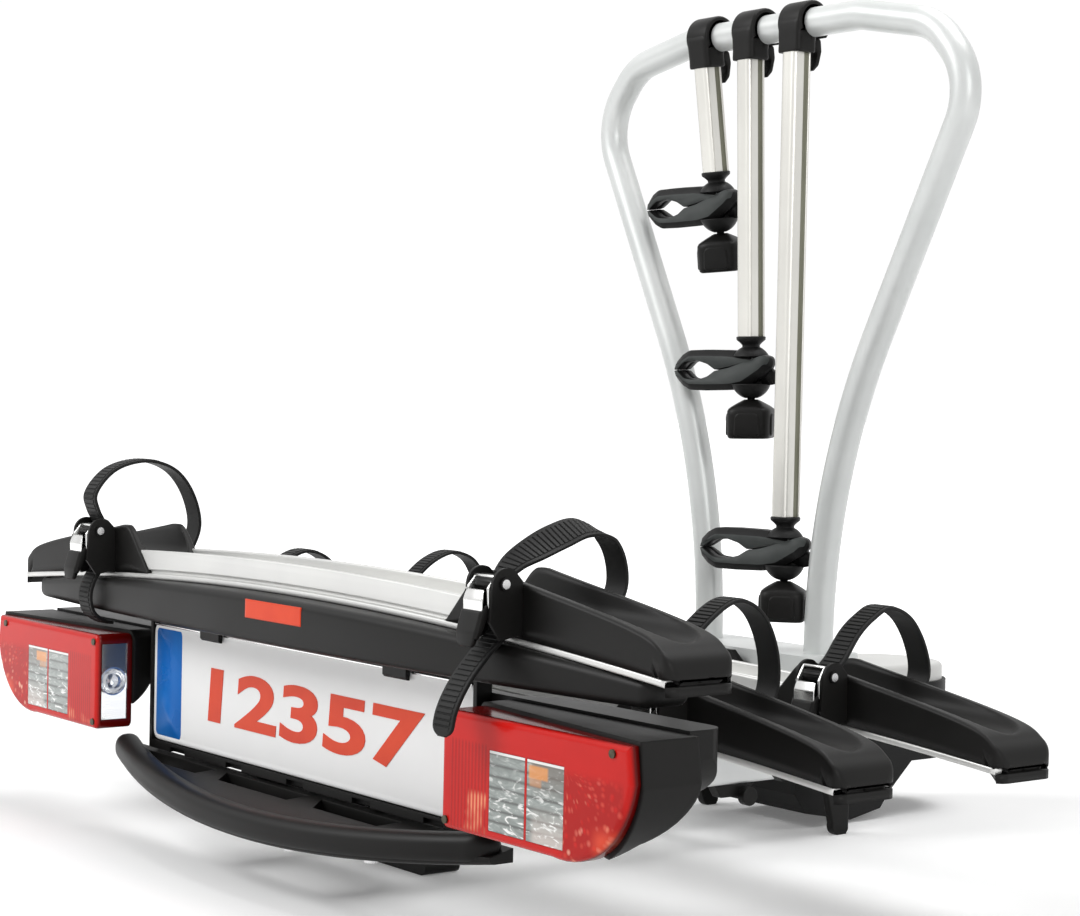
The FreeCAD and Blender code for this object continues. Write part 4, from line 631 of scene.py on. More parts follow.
def makeWorld(level):
    # white all round: level as light, 1.02 where it is seen
    world = bpy.data.worlds.new("studio")
    bpy.context.scene.world = world
    world.use_nodes = True
    tree = world.node_tree
    strength = mathNode(tree, "ADD", seenWhite(tree, 1.02 - level), level)
    feed(tree, tree.nodes["Background"], {"Color": (1, 1, 1, 1), "Strength": strength})


makeWorld(0.30)


lamps = [
    {"name": "keyLight", "place": (-1.6, -3.2, 2.6), "aim": (0.0, -0.4, 0.2), "size": 2.0, "power": 84.0},
    {"name": "topLight", "place": (0.3, 0.3, 3.2), "aim": (0.0, -0.3, 0.2), "size": 2.4, "power": 58.0},
    {"name": "sideLight", "place": (3.2, -1.3, 1.5), "aim": (0.0, -0.3, 0.3), "size": 1.6, "power": 26.0},
]


def makeLamp(s):
    # a round area light turned to its aim
    data = bpy.data.lights.new(s["name"], "AREA")
    data.shape = "DISK"
    data.size = s["size"]
    data.energy = s["power"]
    lamp = bpy.data.objects.new(s["name"], data)
    lamp.location = s["place"]
    lamp.rotation_mode = "QUATERNION"
    lamp.rotation_quaternion = (Vector(s["aim"]) - Vector(s["place"])).to_track_quat("-Z", "Y")
    bpy.context.scene.collection.objects.link(lamp)


for s in lamps:
    makeLamp(s)
bpy.context.scene.view_settings.view_transform = "Standard"
print("camera, floor and light set")


# support arch: a round tube carried along its bent line
archSet = {"y": 548.0, "radius": 14.5, "around": 56,
           "right": [(118, 709, 60), (216, 690, 64), (266, 632, 64), (80.5, 258, 690)], "foot": (80.5, 80.0)}


def makeArch(s):
    # a circle of radius r swept along the line: point = line(t) + r cos(a) * (0, 1, 0) + r sin(a) * normal(t)
    chain = [(-s["foot"][0], s["foot"][1], 0)]
    chain += [(-x, z, r) for x, z, r in s["right"][::-1]]
    chain += list(s["right"]) + [(s["foot"][0], s["foot"][1], 0)]
    line = evenly(roundedLine(chain, 3.0), 4.0)
    d = np.gradient(line, axis=0)
    d /= np.linalg.norm(d, axis=1)[:, None]
    across = np.stack([-d[:, 1], d[:, 0]], -1)
    a = circle(s["around"])
    r = s["radius"]
    x = line[:, None, 0] + across[:, None, 0] * (r * np.sin(a))[None, :]
    z = line[:, None, 1] + across[:, None, 1] * (r * np.sin(a))[None, :]
    y = np.broadcast_to(s["y"] + r * np.cos(a)[None, :], x.shape)
    points = np.stack([x, y, z], -1).reshape(-1, 3)
    n, k = len(line), s["around"]
    faces = gridFaces(n, k, wrapV=True)
    faces = [f[::-1] for f in faces] + [list(range(k)), [(n - 1) * k + i for i in range(k)][::-1]]
    newPiece("archTube", points, faces, "arch", finishes["silver_paint"], ["arch_tube"])


makeArch(archSet)
print("arch made")


# shaped pieces shared by many parts
def loopNormals(loop):
    # outward side of a closed anticlockwise loop: the tangent turned a quarter clockwise
    t = np.roll(loop, -1, 0) - np.roll(loop, 1, 0)
    t /= np.maximum(np.linalg.norm(t, axis=1), 1e-9)[:, None]
    return np.stack([t[:, 1], -t[:, 0]], -1)


def denseLoop(corners, spacing=1.2):
    # closed loop through corners (a, b, radius), each rounded, then sampled evenly
    mid = (np.array(corners[0][:2], float) + np.array(corners[-1][:2], float)) / 2
    chain = [(mid[0], mid[1], 0)] + [tuple(c) for c in corners] + [(mid[0], mid[1], 0)]
    return anticlockwise(evenly(roundedLine(chain, 0.8), spacing)[:-1])


def slabMesh(loop, low, high, edge, axis, steps=5):
    # a loop extruded from low to high along an axis, both rims rounded by a quarter circle:
    # level = low + edge (1 - sin t) or high - edge (1 - sin t), inset = edge (1 - cos t)
    out = loopNormals(loop)
    rings = [(low + edge * (1 - math.sin(t)), edge * (1 - math.cos(t)))
             for t in np.linspace(np.pi / 2, 0, steps)]
    rings += [(high - edge * (1 - math.sin(t)), edge * (1 - math.cos(t)))
              for t in np.linspace(0, np.pi / 2, steps)]
    n = len(loop)
    points = []
    for level, inset in rings:
        p = loop - out * inset
        col = np.full(n, level)
        a, b = p[:, 0], p[:, 1]
        points.append(np.stack({"x": (col, a, b), "y": (a, col, b), "z": (a, b, col)}[axis], -1))
    points = np.vstack(points)
    faces = gridFaces(len(rings), n, wrapV=True)
    faces += endCaps(len(rings), n)
    if axis in ("x", "z"):
        faces = [f[::-1] for f in faces]
    return points, faces


def loftMesh(rings):
    # a closed skin over rings of equal counts, each an array of points
    m, n = len(rings), len(rings[0])
    return np.vstack(rings), gridFaces(m, n, wrapV=True) + endCaps(m, n)


def turnAbout(points, centre, axis, degrees):
    # turns points about a line through centre along x, y or z
    a = math.radians(degrees)
    c, s = math.cos(a), math.sin(a)
    m = {"x": [[1, 0, 0], [0, c, -s], [0, s, c]], "y": [[c, 0, s], [0, 1, 0], [-s, 0, c]],
         "z": [[c, -s, 0], [s, c, 0], [0, 0, 1]]}[axis]
    return (np.asarray(points, float) - centre) @ np.array(m).T + centre


# number plate: white sheet with a raised rim, plain digits and a plain blue band
plateSet = {"half": 260.0, "top": 112.0, "corner": 9.0, "thick": 1.2, "digits": (-156.0, 194.0, 29.0, 80.0),
            "band": (-256.5, -207.0, 3.5, 108.5), "rim": ((0, 1.4), (0, 0.7), (0.5, 0.1), (1.5, -0.1),
                    (3.2, -0.1), (4.2, 0.15), (5.0, 0.35), (5.6, 0.4)), "slant": 0.1,
                    "edges": ((-258, -164), (-128, 138), (174, 258)), "edge": (109.4, 111.4)}


def flatMaterial(name, dark, light, rough, cloud=25.0):
    # a printed or painted face in two close shades
    return plastic(name, {"dark": dark, "light": light, "cloud": cloud, "rough": rough, "grain": 1800.0,
                          "bump": 0.04})


digitRed = flatMaterial("digitRed", (0.72, 0.055, 0.02), (0.80, 0.08, 0.03), (0.28, 0.36))
bandBlue = flatMaterial("bandBlue", (0.008, 0.14, 0.52), (0.012, 0.18, 0.60), (0.25, 0.33))
edgeBright = metal("plateEdge", {"dark": (0.75, 0.75, 0.75), "light": (0.88, 0.88, 0.88), "cloud": 30.0,
        "stretch": (60, 900, 900), "rough": (0.12, 0.2), "bump": 0.03})


def roundedRect(x0, x1, z0, z1, r, spacing=1.5):
    # four corners of radius r
    return denseLoop([(x0, z0, r), (x1, z0, r), (x1, z1, r), (x0, z1, r)], spacing)


def makePlate(s):
    # sheet: rounded rectangle rings at growing insets, the rim standing 0.5 mm proud of the field
    loop = roundedRect(-s["half"], s["half"], 0.6, s["top"] - 0.6, s["corner"], 3.0)
    out = loopNormals(loop)
    rings = []
    for inset, y in s["rim"]:
        p = loop - out * inset
        rings.append(np.stack([p[:, 0], np.full(len(p), y), p[:, 1]], -1))
    points, faces = loftMesh(rings)
    addPiece("plateSheet", points, faces, "platform", "plate_white", ["number_plate"])
    x0, x1, z0, z1 = s["band"]
    points, faces = slabMesh(roundedRect(x0, x1, z0, z1, 7.0), 0.24, 0.9, 0.1, "y", 2)
    outward(newPiece("plateBand", points, faces, "platform", bandBlue))
    data = bpy.data.curves.new("digits", "FONT")
    data.body = "12357"
    data.size = 1.0
    data.offset = 0.028
    data.extrude = 0.01
    data.resolution_u = 6
    holder = bpy.data.objects.new("digitsCurve", data)
    bpy.context.scene.collection.objects.link(holder)
    bpy.context.view_layer.update()
    mesh = bpy.data.meshes.new_from_object(holder)
    co = np.zeros(len(mesh.vertices) * 3)
    mesh.vertices.foreach_get("co", co)
    co = co.reshape(-1, 3)
    lo, hi = co.min(0), co.max(0)
    x0, x1, z0, z1 = s["digits"]
    u = (co - lo) / (hi - lo)
    y = np.where(u[:, 2] > 0.5, -0.15, 0.6)
    z = z0 + u[:, 1] * (z1 - z0)
    x = x0 + u[:, 0] * (x1 - x0 - 6) + (z - z0) * s["slant"]
    co = place(np.stack([x, y, z], -1))
    mesh.vertices.foreach_set("co", co.astype(np.float32).ravel())
    mesh.update()
    bpy.data.objects.remove(holder)
    piece = bpy.data.objects.new("plateDigits", mesh)
    bpy.context.scene.collection.objects.link(piece)
    mesh.materials.clear()
    mesh.materials.append(digitRed)
    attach(piece, "platform")
    outward(piece)
    # bright line along the plate's upper edge, between the clips
    for k, (a, b) in enumerate(s["edges"]):
        points, faces = slabMesh(roundedRect(a, b, *s["edge"], 0.9, 2.0), -1.5, 0.4, 0.5, "y", 3)
        outward(newPiece("plateEdge%d" % k, points, faces, "platform", edgeBright))


makePlate(plateSet)
print("plate made")


# plain red bar on the rear beam, laid on its front
def onSurface(node, xs, zs, lift, fromY=-200.0):
    # for each (x, z) the first point of the node's surface met along +Y, moved out by lift
    mesh = frame["nodes"][node].data
    tree = BVHTree.FromPolygons([tuple(v.co) for v in mesh.vertices],
            [tuple(p.vertices) for p in mesh.polygons])
    points = []
    for x in xs:
        for z in zs:
            start = place([[x, fromY, z]])[0]
            hit = tree.ray_cast(Vector(start), Vector((0, 1, 0)), 1.0)
            y = hit[0].y * 1000 + ballY if hit[0] is not None else 0.0
            points.append((x, y - lift, z))
    return np.array(points)


crown = 5500.0
strapX = 326.0


def crownDrop(x):
    # how far the trays' crown lies below its middle at x: R - sqrt(R^2 - x^2)
    return crown - np.sqrt(crown**2 - np.asarray(x, float) ** 2)


beamSet = {"end": 486.0, "front": -42.0, "bow": 27.1, "power": 2.1, "back": 21.8, "top": 159.8, "low": 118.4,
           "round": 7.5, "rear": 2.0, "fade": 12.0, "span": 480.0, "curl": 10.0, "least": 0.02}


def roundedSection(yf, yb, zb, zt, front, rear, steps=7):
    # closed outline in y-z: four quarter circles, front ones of radius front, rear ones of radius rear
    front = min(front, 0.45 * (zt - zb))
    rear = min(rear, 0.45 * (zt - zb))
    out = []
    for cy, cz, r, start in ((yf + front, zb + front, front, 270), (yf + front, zt - front, front, 180),
            (yb - rear, zt - rear, rear, 90), (yb - rear, zb + rear, rear, 0)):
        for t in np.radians(np.linspace(start, start - 90, steps)):
            out.append((cy + r * math.cos(t), cz + r * math.sin(t)))
    return np.array(out)


def makeBeam(s):
    # sections across x: front = front + bow * |x / span|^power, the top follows the tray's crown
    fade = s["end"] - s["fade"]
    xs = np.concatenate([-np.linspace(s["end"], fade, 12), np.linspace(-fade, fade, 121)[1:-1],
                         np.linspace(fade, s["end"], 12)])
    rings = []
    for x in xs:
        thin = float(narrowing(abs(x) - fade, s["fade"], s["least"]))
        yf = s["front"] + s["bow"] * abs(x / s["span"]) ** s["power"] + s["curl"] * (1 - thin)
        top = s["top"] - float(crownDrop(x))
        low = s["low"] + (top - s["low"]) * 0.5 * (1 - thin)
        section = roundedSection(yf, s["back"], low, top, s["round"], s["rear"])
        rings.append(np.column_stack([np.full(len(section), x), section]))
    points, faces = loftMesh(rings)
    addPiece("rearBeam", points, faces, "platform", "black_plastic", ["rear_beam"])


makeBeam(beamSet)


bowSet = {"half": 303.0, "front": -66.0, "bow": 50.0, "span": 306.0, "low": -44.0, "rise": 20.6,
          "proud": 4.0, "deep": 13.5, "tall": 12.6, "fade": 18.0, "riseSpan": 290.0, "risePower": 1.9,
          "lift": 0.2, "least": 0.03, "square": 0.85, "around": 40}


def makePedalBow(s):
    # a flattened tube along the pedal's front curve: front = front + bow * (x / span)^2,
    # low = low + rise * |x / riseSpan|^risePower
    fade = s["half"] - s["fade"]
    xs = np.concatenate([-np.linspace(s["half"], fade, 12), np.linspace(-fade, fade, 91)[1:-1],
                         np.linspace(fade, s["half"], 12)])
    t = circle(s["around"])
    c, k = (np.sign(w) * np.abs(w) ** s["square"] for w in (np.cos(t), np.sin(t)))
    rings = []
    for x in xs:
        thin = float(narrowing(abs(x) - fade, s["fade"], s["least"]))
        yf = s["front"] + s["bow"] * (x / s["span"]) ** 2 - s["proud"]
        low = s["low"] + s["rise"] * abs(x / s["riseSpan"]) ** s["risePower"] + s["lift"]
        across, up = yf + s["deep"] * (1 + thin * c), low + s["tall"] * (1 + thin * k)
        rings.append(np.column_stack([np.full(s["around"], x), across, up]))
    points, faces = loftMesh(rings)
    addPiece("pedalBow", points, faces, "foot_pedal", "black_plastic")


makePedalBow(bowSet)


barSet = {"x": (-20.0, 70.0), "z": (139.5, 155.5), "lift": 0.35, "thick": 0.8}


def makeBar(s):
    # a grid laid on the beam's front, its copy behind it, and a rim of quads between them
    xs = np.linspace(*s["x"], 46)
    zs = np.linspace(*s["z"], 12)
    front = onSurface("rear_beam", xs, zs, s["lift"])
    back = front + np.array([0, s["thick"], 0])
    nx, nz = len(xs), len(zs)
    n = nx * nz
    faces = gridFaces(nx, nz)
    faces += [[i + n for i in f[::-1]] for f in faces]
    rim = gridRim(nx, nz).tolist()
    faces += [[a, b, b + n, a + n] for a, b in zip(rim, rim[1:] + rim[:1])]
    outward(newPiece("beamBar", np.vstack([front, back]), faces, "platform", digitRed))


makeBar(barSet)


# wheel straps: toothed bands along their bent lines
strapSet = {"x": strapX, "width": 25.0, "thick": 3.0, "pitch": 4.4, "tooth": 1.0, "step": 0.55,
            "half": 31.2, "near": 5.5, "gap": 0.3, "foot": 12.0, "tip": 9.0, "tipLeast": 0.12}
rows = {"rear": (13.2, 160.0), "middle": (178.2, 71.0), "front": (355.2, 71.0)}
plainTail = [(-54.0, -38.0), (-37.8, -22.0), (-16.2, -3.8), (-2.5, 10.0)]
strapTails = {("rear", 1): [(-52.0, -66.0), (-48.5, -48.0), (-37.0, -27.0), (-19.0, -6.5), (-3.0, 9.0)],
              ("rear", -1): [(13.0, -44.5), (0.0, -41.5), (-11.5, -33.0), (-15.5, -17.0), (-11.0, -1.0),
                      (-2.5, 12.0)]}
sites = [(which, side) for which in rows for side in (-1, 1)]
strapTwist = {("rear", 1): (-40.0, 136.0, 245.0)}
strapLoops = {
    "rear": {-1: [(-47, 66), (-50, 80), (-30, 104), (6, 113), (36, 104), (55, 82), (64, 50), (56, 27)],
             1: [(-29, 59), (-8, 70), (14, 79), (36, 85), (56, 80), (69, 65), (73, 40), (61, 20)]},
    "middle": {-1: [(-34, 66), (-8, 94), (24, 109), (51, 100), (69, 72), (71, 40), (60, 20)],
               1: [(-33, 66), (-12, 92), (26, 113), (52, 102), (69, 72), (71, 40), (60, 20)]},
    "front": {-1: [(-30, 60), (-12, 80), (10, 96), (34, 103), (60, 94), (76, 66), (78, 40), (64, 20)],
              1: [(-28, 60), (-12, 80), (4, 92), (23, 100), (48, 91), (67, 66), (73, 40), (61, 20)]},
}


def sided(which, side):
    # the name of the row, with left for side -1 and right for side 1
    return "%s_%s" % (which, "left" if side < 0 else "right")


def strapPiece(which, side, s):
    # flat section carried along the line; outer face height = tooth * (1 - fractional pitch) on the near half
    y, z = rows[which]
    ground = z - crownDrop(s["x"])
    run = y - s["half"] - s["near"] - s["thick"] / 2
    foot = y + s["half"] + s["gap"] + s["thick"] / 2
    line = [(run + a, ground + b) for a, b in strapTails.get((which, side), plainTail)]
    line += [(run, ground + 22), (run, ground + 48)]
    line += [(y + a, ground + b) for a, b in strapLoops[which][side]]
    line += [(foot + 10, ground + s["foot"] + 1), (foot, ground + s["foot"] + 8)]
    path = smoothCurve(line, s["step"])
    t = np.gradient(path, axis=0)
    t /= np.linalg.norm(t, axis=1)[:, None]
    out = np.stack([-t[:, 1], t[:, 0]], -1)
    length = np.arange(len(path)) * s["step"]
    top = int(np.argmax(path[:, 1]))
    fade = np.clip((length[top] + 18 - length) / 6.0, 0, 1) * np.clip((length - 4) / 4.0, 0, 1)
    phase = (length / s["pitch"]) % 1.0
    tooth = s["tooth"] * fade * np.where(phase < 0.72, 1 - phase * 0.25, 0.05)
    h, w = s["thick"] / 2, s["width"] / 2
    # a twist about the line, 0 at both of its ends
    most, begin, end = strapTwist.get((which, side), (0.0, 0.0, 1.0))
    lean = math.radians(most) * np.sin(np.pi * np.clip((length - begin) / (end - begin), 0, 1))
    # tip of the tail narrows to a rounded end
    narrow = narrowing(s["tip"] - length, s["tip"], s["tipLeast"])
    section = [(-w, -h + 0.5), (-w + 0.5, -h), (w - 0.5, -h), (w, -h + 0.5), (w, h - 0.5), (w - 0.5, h),
               (w - 3.2, h), (w - 3.4, h), (-w + 3.4, h), (-w + 3.2, h), (-w + 0.5, h), (-w, h - 0.5)]
    raised = [0, 0, 0, 0, 0, 0, 0, 1, 1, 0, 0, 0]
    rings = []
    for i in range(len(path)):
        ring = []
        for (a, b), r in zip(section, raised):
            flat, rise = a * narrow[i], b + r * (tooth[i] - 0.35 * fade[i])
            across = flat * math.cos(lean[i]) - rise * math.sin(lean[i])
            up = flat * math.sin(lean[i]) + rise * math.cos(lean[i])
            ring.append((side * s["x"] + across, path[i, 0] + out[i, 0] * up, path[i, 1] + out[i, 1] * up))
        rings.append(np.array(ring))
    points, faces = loftMesh(rings)
    name = "wheelStrap_" + sided(which, side)
    addPiece(name, points, faces, "platform", "strap_rubber", ["wheel_straps"], smooth=False)


for which, side in sites:
    strapPiece(which, side, strapSet)
print("straps made")


# wheel cups: a long wedge with a dished track, a rounded rim and a slotted outer end
cupSet = {"inner": 243.0, "outer": 511.0, "half": 31.2, "topInner": 286.0, "topOuter": 487.0,
          "innerHeight": 52.0, "outerHeight": 31.0,
          "lift": 5.3, "trackHalf": 24.6, "floorInner": 15.0, "floorOuter": 27.0, "rim": 3.4,
          "endRound": 9.0, "endDrop": 6.0,
          "along": ((243, 290, 26), (292, 480, 60), (481.5, 511, 34)), "floorRun": (223.0, 531.0),
          "bowlPower": 2.6, "bowlDepth": 0.9,
          "ovalFrom": 455.0, "ovalReach": 42.0, "ovalBlend": 0.86, "slotFrom": 492.0, "slotFade": 8.0,
          "slotLift": 1.2,
          "slotLevels": [(0.3, 0.0), (None, 5.0, 0.0), (None, 4.6, 4.0), (None, 0.2, 4.0), (None, -0.2, 0.0),
                         (1.0, 0.0)],
          "across": [0, 5, 9, 12.5, 15.5, 18, 20, 21.6, 22.8, 23.6, 24.2, 24.6, 25.0, 25.6, 26.4, 27.4, 28.4,
                     29.2, 29.9, 30.5, 30.9, 31.12, 31.2]}


def cupPiece(which, side, s):
    # height(x, y) = rim line(x) with rounded borders, dug by a round-bottomed track that ends in an oval
    y0, z0 = rows[which]
    drop = crownDrop
    topLine = [(s["inner"], s["lift"] + 1.0 - drop(s["inner"])),
               (s["topInner"] - 4, s["innerHeight"] - 3.5 - drop(s["topInner"])),
               (s["topInner"] + 6, s["innerHeight"] - 0.6 - drop(s["topInner"])),
               (s["topOuter"], s["outerHeight"] - drop(s["topOuter"])),
               (500.0, 25.5 - drop(s["outer"])), (507.5, 18.5 - drop(s["outer"])),
               (s["outer"], 9.0 - drop(s["outer"]))]
    lx = np.array([p[0] for p in topLine])
    lz = np.array([p[1] for p in topLine])
    xs = np.concatenate([np.linspace(*run) for run in s["along"]])
    curve = smoothCurve(np.stack([lx[2:], lz[2:]], -1), 0.6)
    rim = np.where(xs < s["topInner"] + 6, np.interp(xs, lx, lz), np.interp(xs, curve[:, 0], curve[:, 1]))
    mean = np.convolve(np.pad(rim, 3, mode="edge"), np.ones(7) / 7, "valid")
    rim = np.where((xs > 276) & (xs < 296), mean, rim)
    past, turned = xs - s["outer"] + s["endRound"], s["endRound"]
    half = np.where(past > 0, s["half"] - turned + np.sqrt(np.clip(turned**2 - past**2, 0, None)), s["half"])
    v = np.array(s["across"])
    v = np.concatenate([-v[::-1], v[1:]]) / s["half"]
    gridX, gridV = np.meshgrid(xs, v, indexing="ij")
    gridHalf = np.broadcast_to(half[:, None], gridX.shape)
    gridY = gridV * gridHalf
    top = np.broadcast_to(rim[:, None], gridX.shape).copy()
    # rounded outer border
    d = np.clip(gridHalf - np.abs(gridY), 0, s["rim"])
    top -= s["rim"] - np.sqrt(np.clip(s["rim"] ** 2 - (s["rim"] - d) ** 2, 0, None))
    # the track
    t = (xs - s["floorRun"][0]) / (s["floorRun"][1] - s["floorRun"][0])
    floorIn, floorOut = s["floorInner"] - drop(s["inner"]), s["floorOuter"] - drop(s["outer"])
    floor = (floorIn * (1 - t) + floorOut * t)[:, None]
    a = s["trackHalf"]
    bowl = floor + a * (1 - np.sqrt(np.clip(1 - (np.abs(gridY) / a) ** s["bowlPower"], 0,
            1))) * s["bowlDepth"]
    along = np.clip((gridX - s["ovalFrom"]) / s["ovalReach"], 0, None)
    endOval = np.sqrt(along**2 + (np.abs(gridY) / (a + 1.0)) ** 2)
    blend = np.clip((endOval - s["ovalBlend"]) / (1 - s["ovalBlend"]), 0, 1)
    blend = blend * blend * (3 - 2 * blend)
    bowl = bowl * (1 - blend) + top * blend
    inside = np.abs(gridY) < a
    gridZ = np.where(inside & (gridX < 499), np.minimum(top, bowl), top)
    base = np.where(xs > 505.5, -drop(s["outer"]) - s["endDrop"], s["lift"] - drop(xs))
    gridZ = np.maximum(gridZ, base[:, None] + 0.4)
    nx, nv = gridX.shape
    # border loop, then the side wall in levels; near the outer end a slot is pressed in
    border = gridRim(nx, nv)
    bi, bj = border // nv, border % nv
    bx, by, bz = gridX[bi, bj], gridY[bi, bj], gridZ[bi, bj]
    nearEnd = np.clip((bx - s["slotFrom"]) / s["slotFade"], 0, 1)
    low = base[bi]
    slotZ = -drop(s["outer"]) + s["slotLift"]
    points = [np.stack([side * gridX.ravel(), y0 + gridY.ravel(), z0 + gridZ.ravel()], -1)]
    faces = gridFaces(nx, nv)
    previous = border
    count = nx * nv
    m = len(border)
    for level in s["slotLevels"]:
        if level[0] is not None:
            zz = bz + (low - bz) * level[0]
            inset = level[1] * nearEnd
        else:
            near = slotZ + level[1]
            usual = bz + (low - bz) * (0.6 + 0.05 * (2.6 - level[1]))
            zz = np.minimum(usual * (1 - nearEnd) + near * nearEnd, bz - 0.05 * (6 - level[1]))
            inset = level[2] * nearEnd
        zz = np.maximum(zz, low)
        px = bx - inset
        py = by - np.sign(by) * np.minimum(inset, np.abs(by))
        points.append(np.stack([side * px, y0 + py, z0 + zz], -1))
        now = count + np.arange(m)
        faces += [[previous[k], previous[(k + 1) % m], now[(k + 1) % m], now[k]] for k in range(m)]
        previous = now
        count += m
    faces.append([int(k) for k in previous])
    faces = [[int(k) for k in f] for f in faces]
    addPiece("wheelCup_" + sided(which, side), np.vstack(points), faces, "platform", "black_plastic",
             ["wheel_cups"])


for which, side in sites:
    cupPiece(which, side, cupSet)
print("cups made")


# trays: a crowned channel over a lipped foot
traySet = {"wallEnd": 470.0, "lipEnd": 505.0,
           "channel": [(28.7, 8.2, 0.3), (28.7, 26.0, 0.9), (28.0, 27.0, 0.7), (26.9, 27.0, 0.5),
                       (26.4, 26.2, 0.6), (26.4, 15.4, 1.2), (20, 12.6, 20)],
           "foot": [(31.2, 0.0, 0.6), (31.2, 4.8, 0.8), (30.2, 5.2, 0.5), (26.7, 5.2, 0.4), (26.7, 8.4, 0.3)]}


def crownedSweep(section, y0, z0, end, count=160):
    # a section of (y, h) turned about the crown's far centre: x = (R + h) sin a, z = z0 - R + (R + h) cos a
    a = np.linspace(-1, 1, count) * math.asin(end / crown)
    rings = []
    for angle in a:
        r = crown + section[:, 1]
        rings.append(np.stack([r * math.sin(angle), y0 + section[:, 0], z0 - crown + r * math.cos(angle)],
                -1))
    return loftMesh(rings)


def makeTray(which, s):
    # a walled channel over a wider foot, both swept along the crown
    y0, z0 = rows[which]
    channel = denseLoop(mirrored(s["channel"]), 1.6)
    base = denseLoop(mirrored(s["foot"]), 1.4)
    parts = [crownedSweep(channel, y0, z0, s["wallEnd"]), crownedSweep(base, y0, z0, s["lipEnd"])]
    points, faces = merged(parts)
    addPiece("tray_" + which, points, faces, "platform", "tray_aluminium", [which + "_tray"])


for which in rows:
    makeTray(which, traySet)
print("trays made")


# buckle levers: a bright frame round the spool, a bright tongue and a black thumb grip
leverSet = {"pinOut": 17.0, "pinZ": 46.0, "half": 31.2, "width": 26.6,
            "tongue": [(-12.5, -3.0, 1.2), (-14.6, -4.4, 1.4), (-17.5, -12, 6), (-17.0, -22.5, 1.4),
                       (-14.6, -23, 1.4), (-14.6, -12, 6)],
            "grip": [(-15.2, -19, 1.6), (-18.6, -20, 2), (-23.5, -36, 9), (-23.8, -46.5, 2.4),
                     (-19.6, -47.5, 2.4), (-18.2, -34, 9)],
            "guard": [(-12, -14, 2), (-17.5, -20, 3), (-22.6, -40, 6), (-20.5, -44, 2), (-14.5, -30, 8),
                      (-9.5, -18, 3)]}


def leverPiece(which, side, s):
    # all sections are drawn in the y-z plane about the pin and pushed along x with rounded rims
    y, z = rows[which]
    ground = z - crownDrop(strapX)
    py, pz = y - s["half"] - s["pinOut"], ground + s["pinZ"]
    name = sided(which, side)
    body, x = "buckle_lever_" + name, side * strapX
    w = s["width"] / 2
    # bright cheeks: plates on both sides of the spool, lower in the rear row, whose straps lean over the pin
    lower = 2.8 if which == "rear" else 0.0
    cheek = denseLoop(moved(py, pz, [(4.2, 5.6, 3), (-6 + lower * 0.2, 9 - lower, 3), (-13, -3, 4),
            (-12, -20, 4), (-5, -20, 3), (5, -5, 4)]), 0.8)
    parts = [slabMesh(cheek, x - w, x - w + 2.0, 0.6, "x", 3),
             slabMesh(cheek, x + w - 2.0, x + w, 0.6, "x", 3)]
    # bars joining them, above and below the spool
    top = denseLoop(moved(py, pz, [(2.6, 4.8 - lower * 0.5, 1), (2.6, 6.8 - lower * 0.5, 1),
            (-6, 9.2 - lower, 1.2), (-7, 7.0 - lower, 1)]), 0.6)
    parts.append(slabMesh(top, x - w + 0.5, x + w - 0.5, 0.4, "x", 3))
    tongue = denseLoop(moved(py, pz, s["tongue"]), 0.6)
    parts.append(slabMesh(tongue, x - w + 1.6, x + w - 1.6, 1.0, "x", 4))
    points, faces = merged(parts)
    addPiece("leverFrame_" + name, points, faces, body, "bright_lever", [body])
    # spool with ratchet teeth: radius alternates round the pin
    a = circle(96)
    r = 5.6 + 0.8 * ((a * 12 / (2 * np.pi)) % 1.0)
    loop = np.stack([py - 1.5 + r * np.cos(a), pz + 0.5 + r * np.sin(a)], -1)
    grip = denseLoop(moved(py, pz, s["grip"]), 0.7)
    parts = [slabMesh(loop, x - w + 2.2, x + w - 2.2, 0.5, "x", 3)]

    def narrowed(mesh):
        # towards the rounded tip the width falls by 0.42 * down^2.2
        pts, fcs = mesh
        down = np.clip((pz - 32 - pts[:, 2]) / 15.5, 0, 1)
        pts[:, 0] = x + (pts[:, 0] - x) * (1 - 0.42 * down**2.2)
        return pts, fcs

    parts.append(narrowed(slabMesh(grip, x - w + 1.0, x + w - 1.0, 1.6, "x", 5)))
    guard = denseLoop(moved(py, pz, s["guard"]), 0.7)
    for k in (-1, 1):
        parts.append(narrowed(slabMesh(guard, x + k * (w - 1.2) - 1.0, x + k * (w - 1.2) + 1.0, 0.5, "x", 3)))
    points, faces = merged(parts)
    addPiece("leverGrip_" + name, points, faces, body, "black_plastic")


for which, side in sites:
    leverPiece(which, side, leverSet)
print("levers made")


# frame arms: hooks, levers, ball domes, jaws and knobs
armSet = {"short": {"x": -98.0, "z": 538.0, "lean": 8.0, "yaw": 81.0},
          "middle": {"x": -29.0, "z": 366.0, "lean": 2.0, "yaw": 75.0, "tip": 87.0},
          "long": {"x": 39.0, "z": 186.0, "lean": 0.0, "yaw": 69.0}}
archY, archTop, armY = 548.0, 709.0, 539.0
clawRim = plastic("clawRim", {"dark": (0.009, 0.009, 0.009), "light": (0.014, 0.014, 0.014), "cloud": 30.0,
        "rough": (0.4, 0.52), "grain": 1800.0, "bump": 0.25})
clawFace = plastic("clawFace", {"dark": (0.062, 0.067, 0.066), "light": (0.080, 0.086, 0.084), "cloud": 45.0,
        "rough": (0.5, 0.6), "grain": 2400.0, "bump": 0.3})


def onArm(points, a):
    # turned by the arm's lean about the arch's top tube
    return turnAbout(points, np.array([0, archY, archTop]), "x", a["lean"])


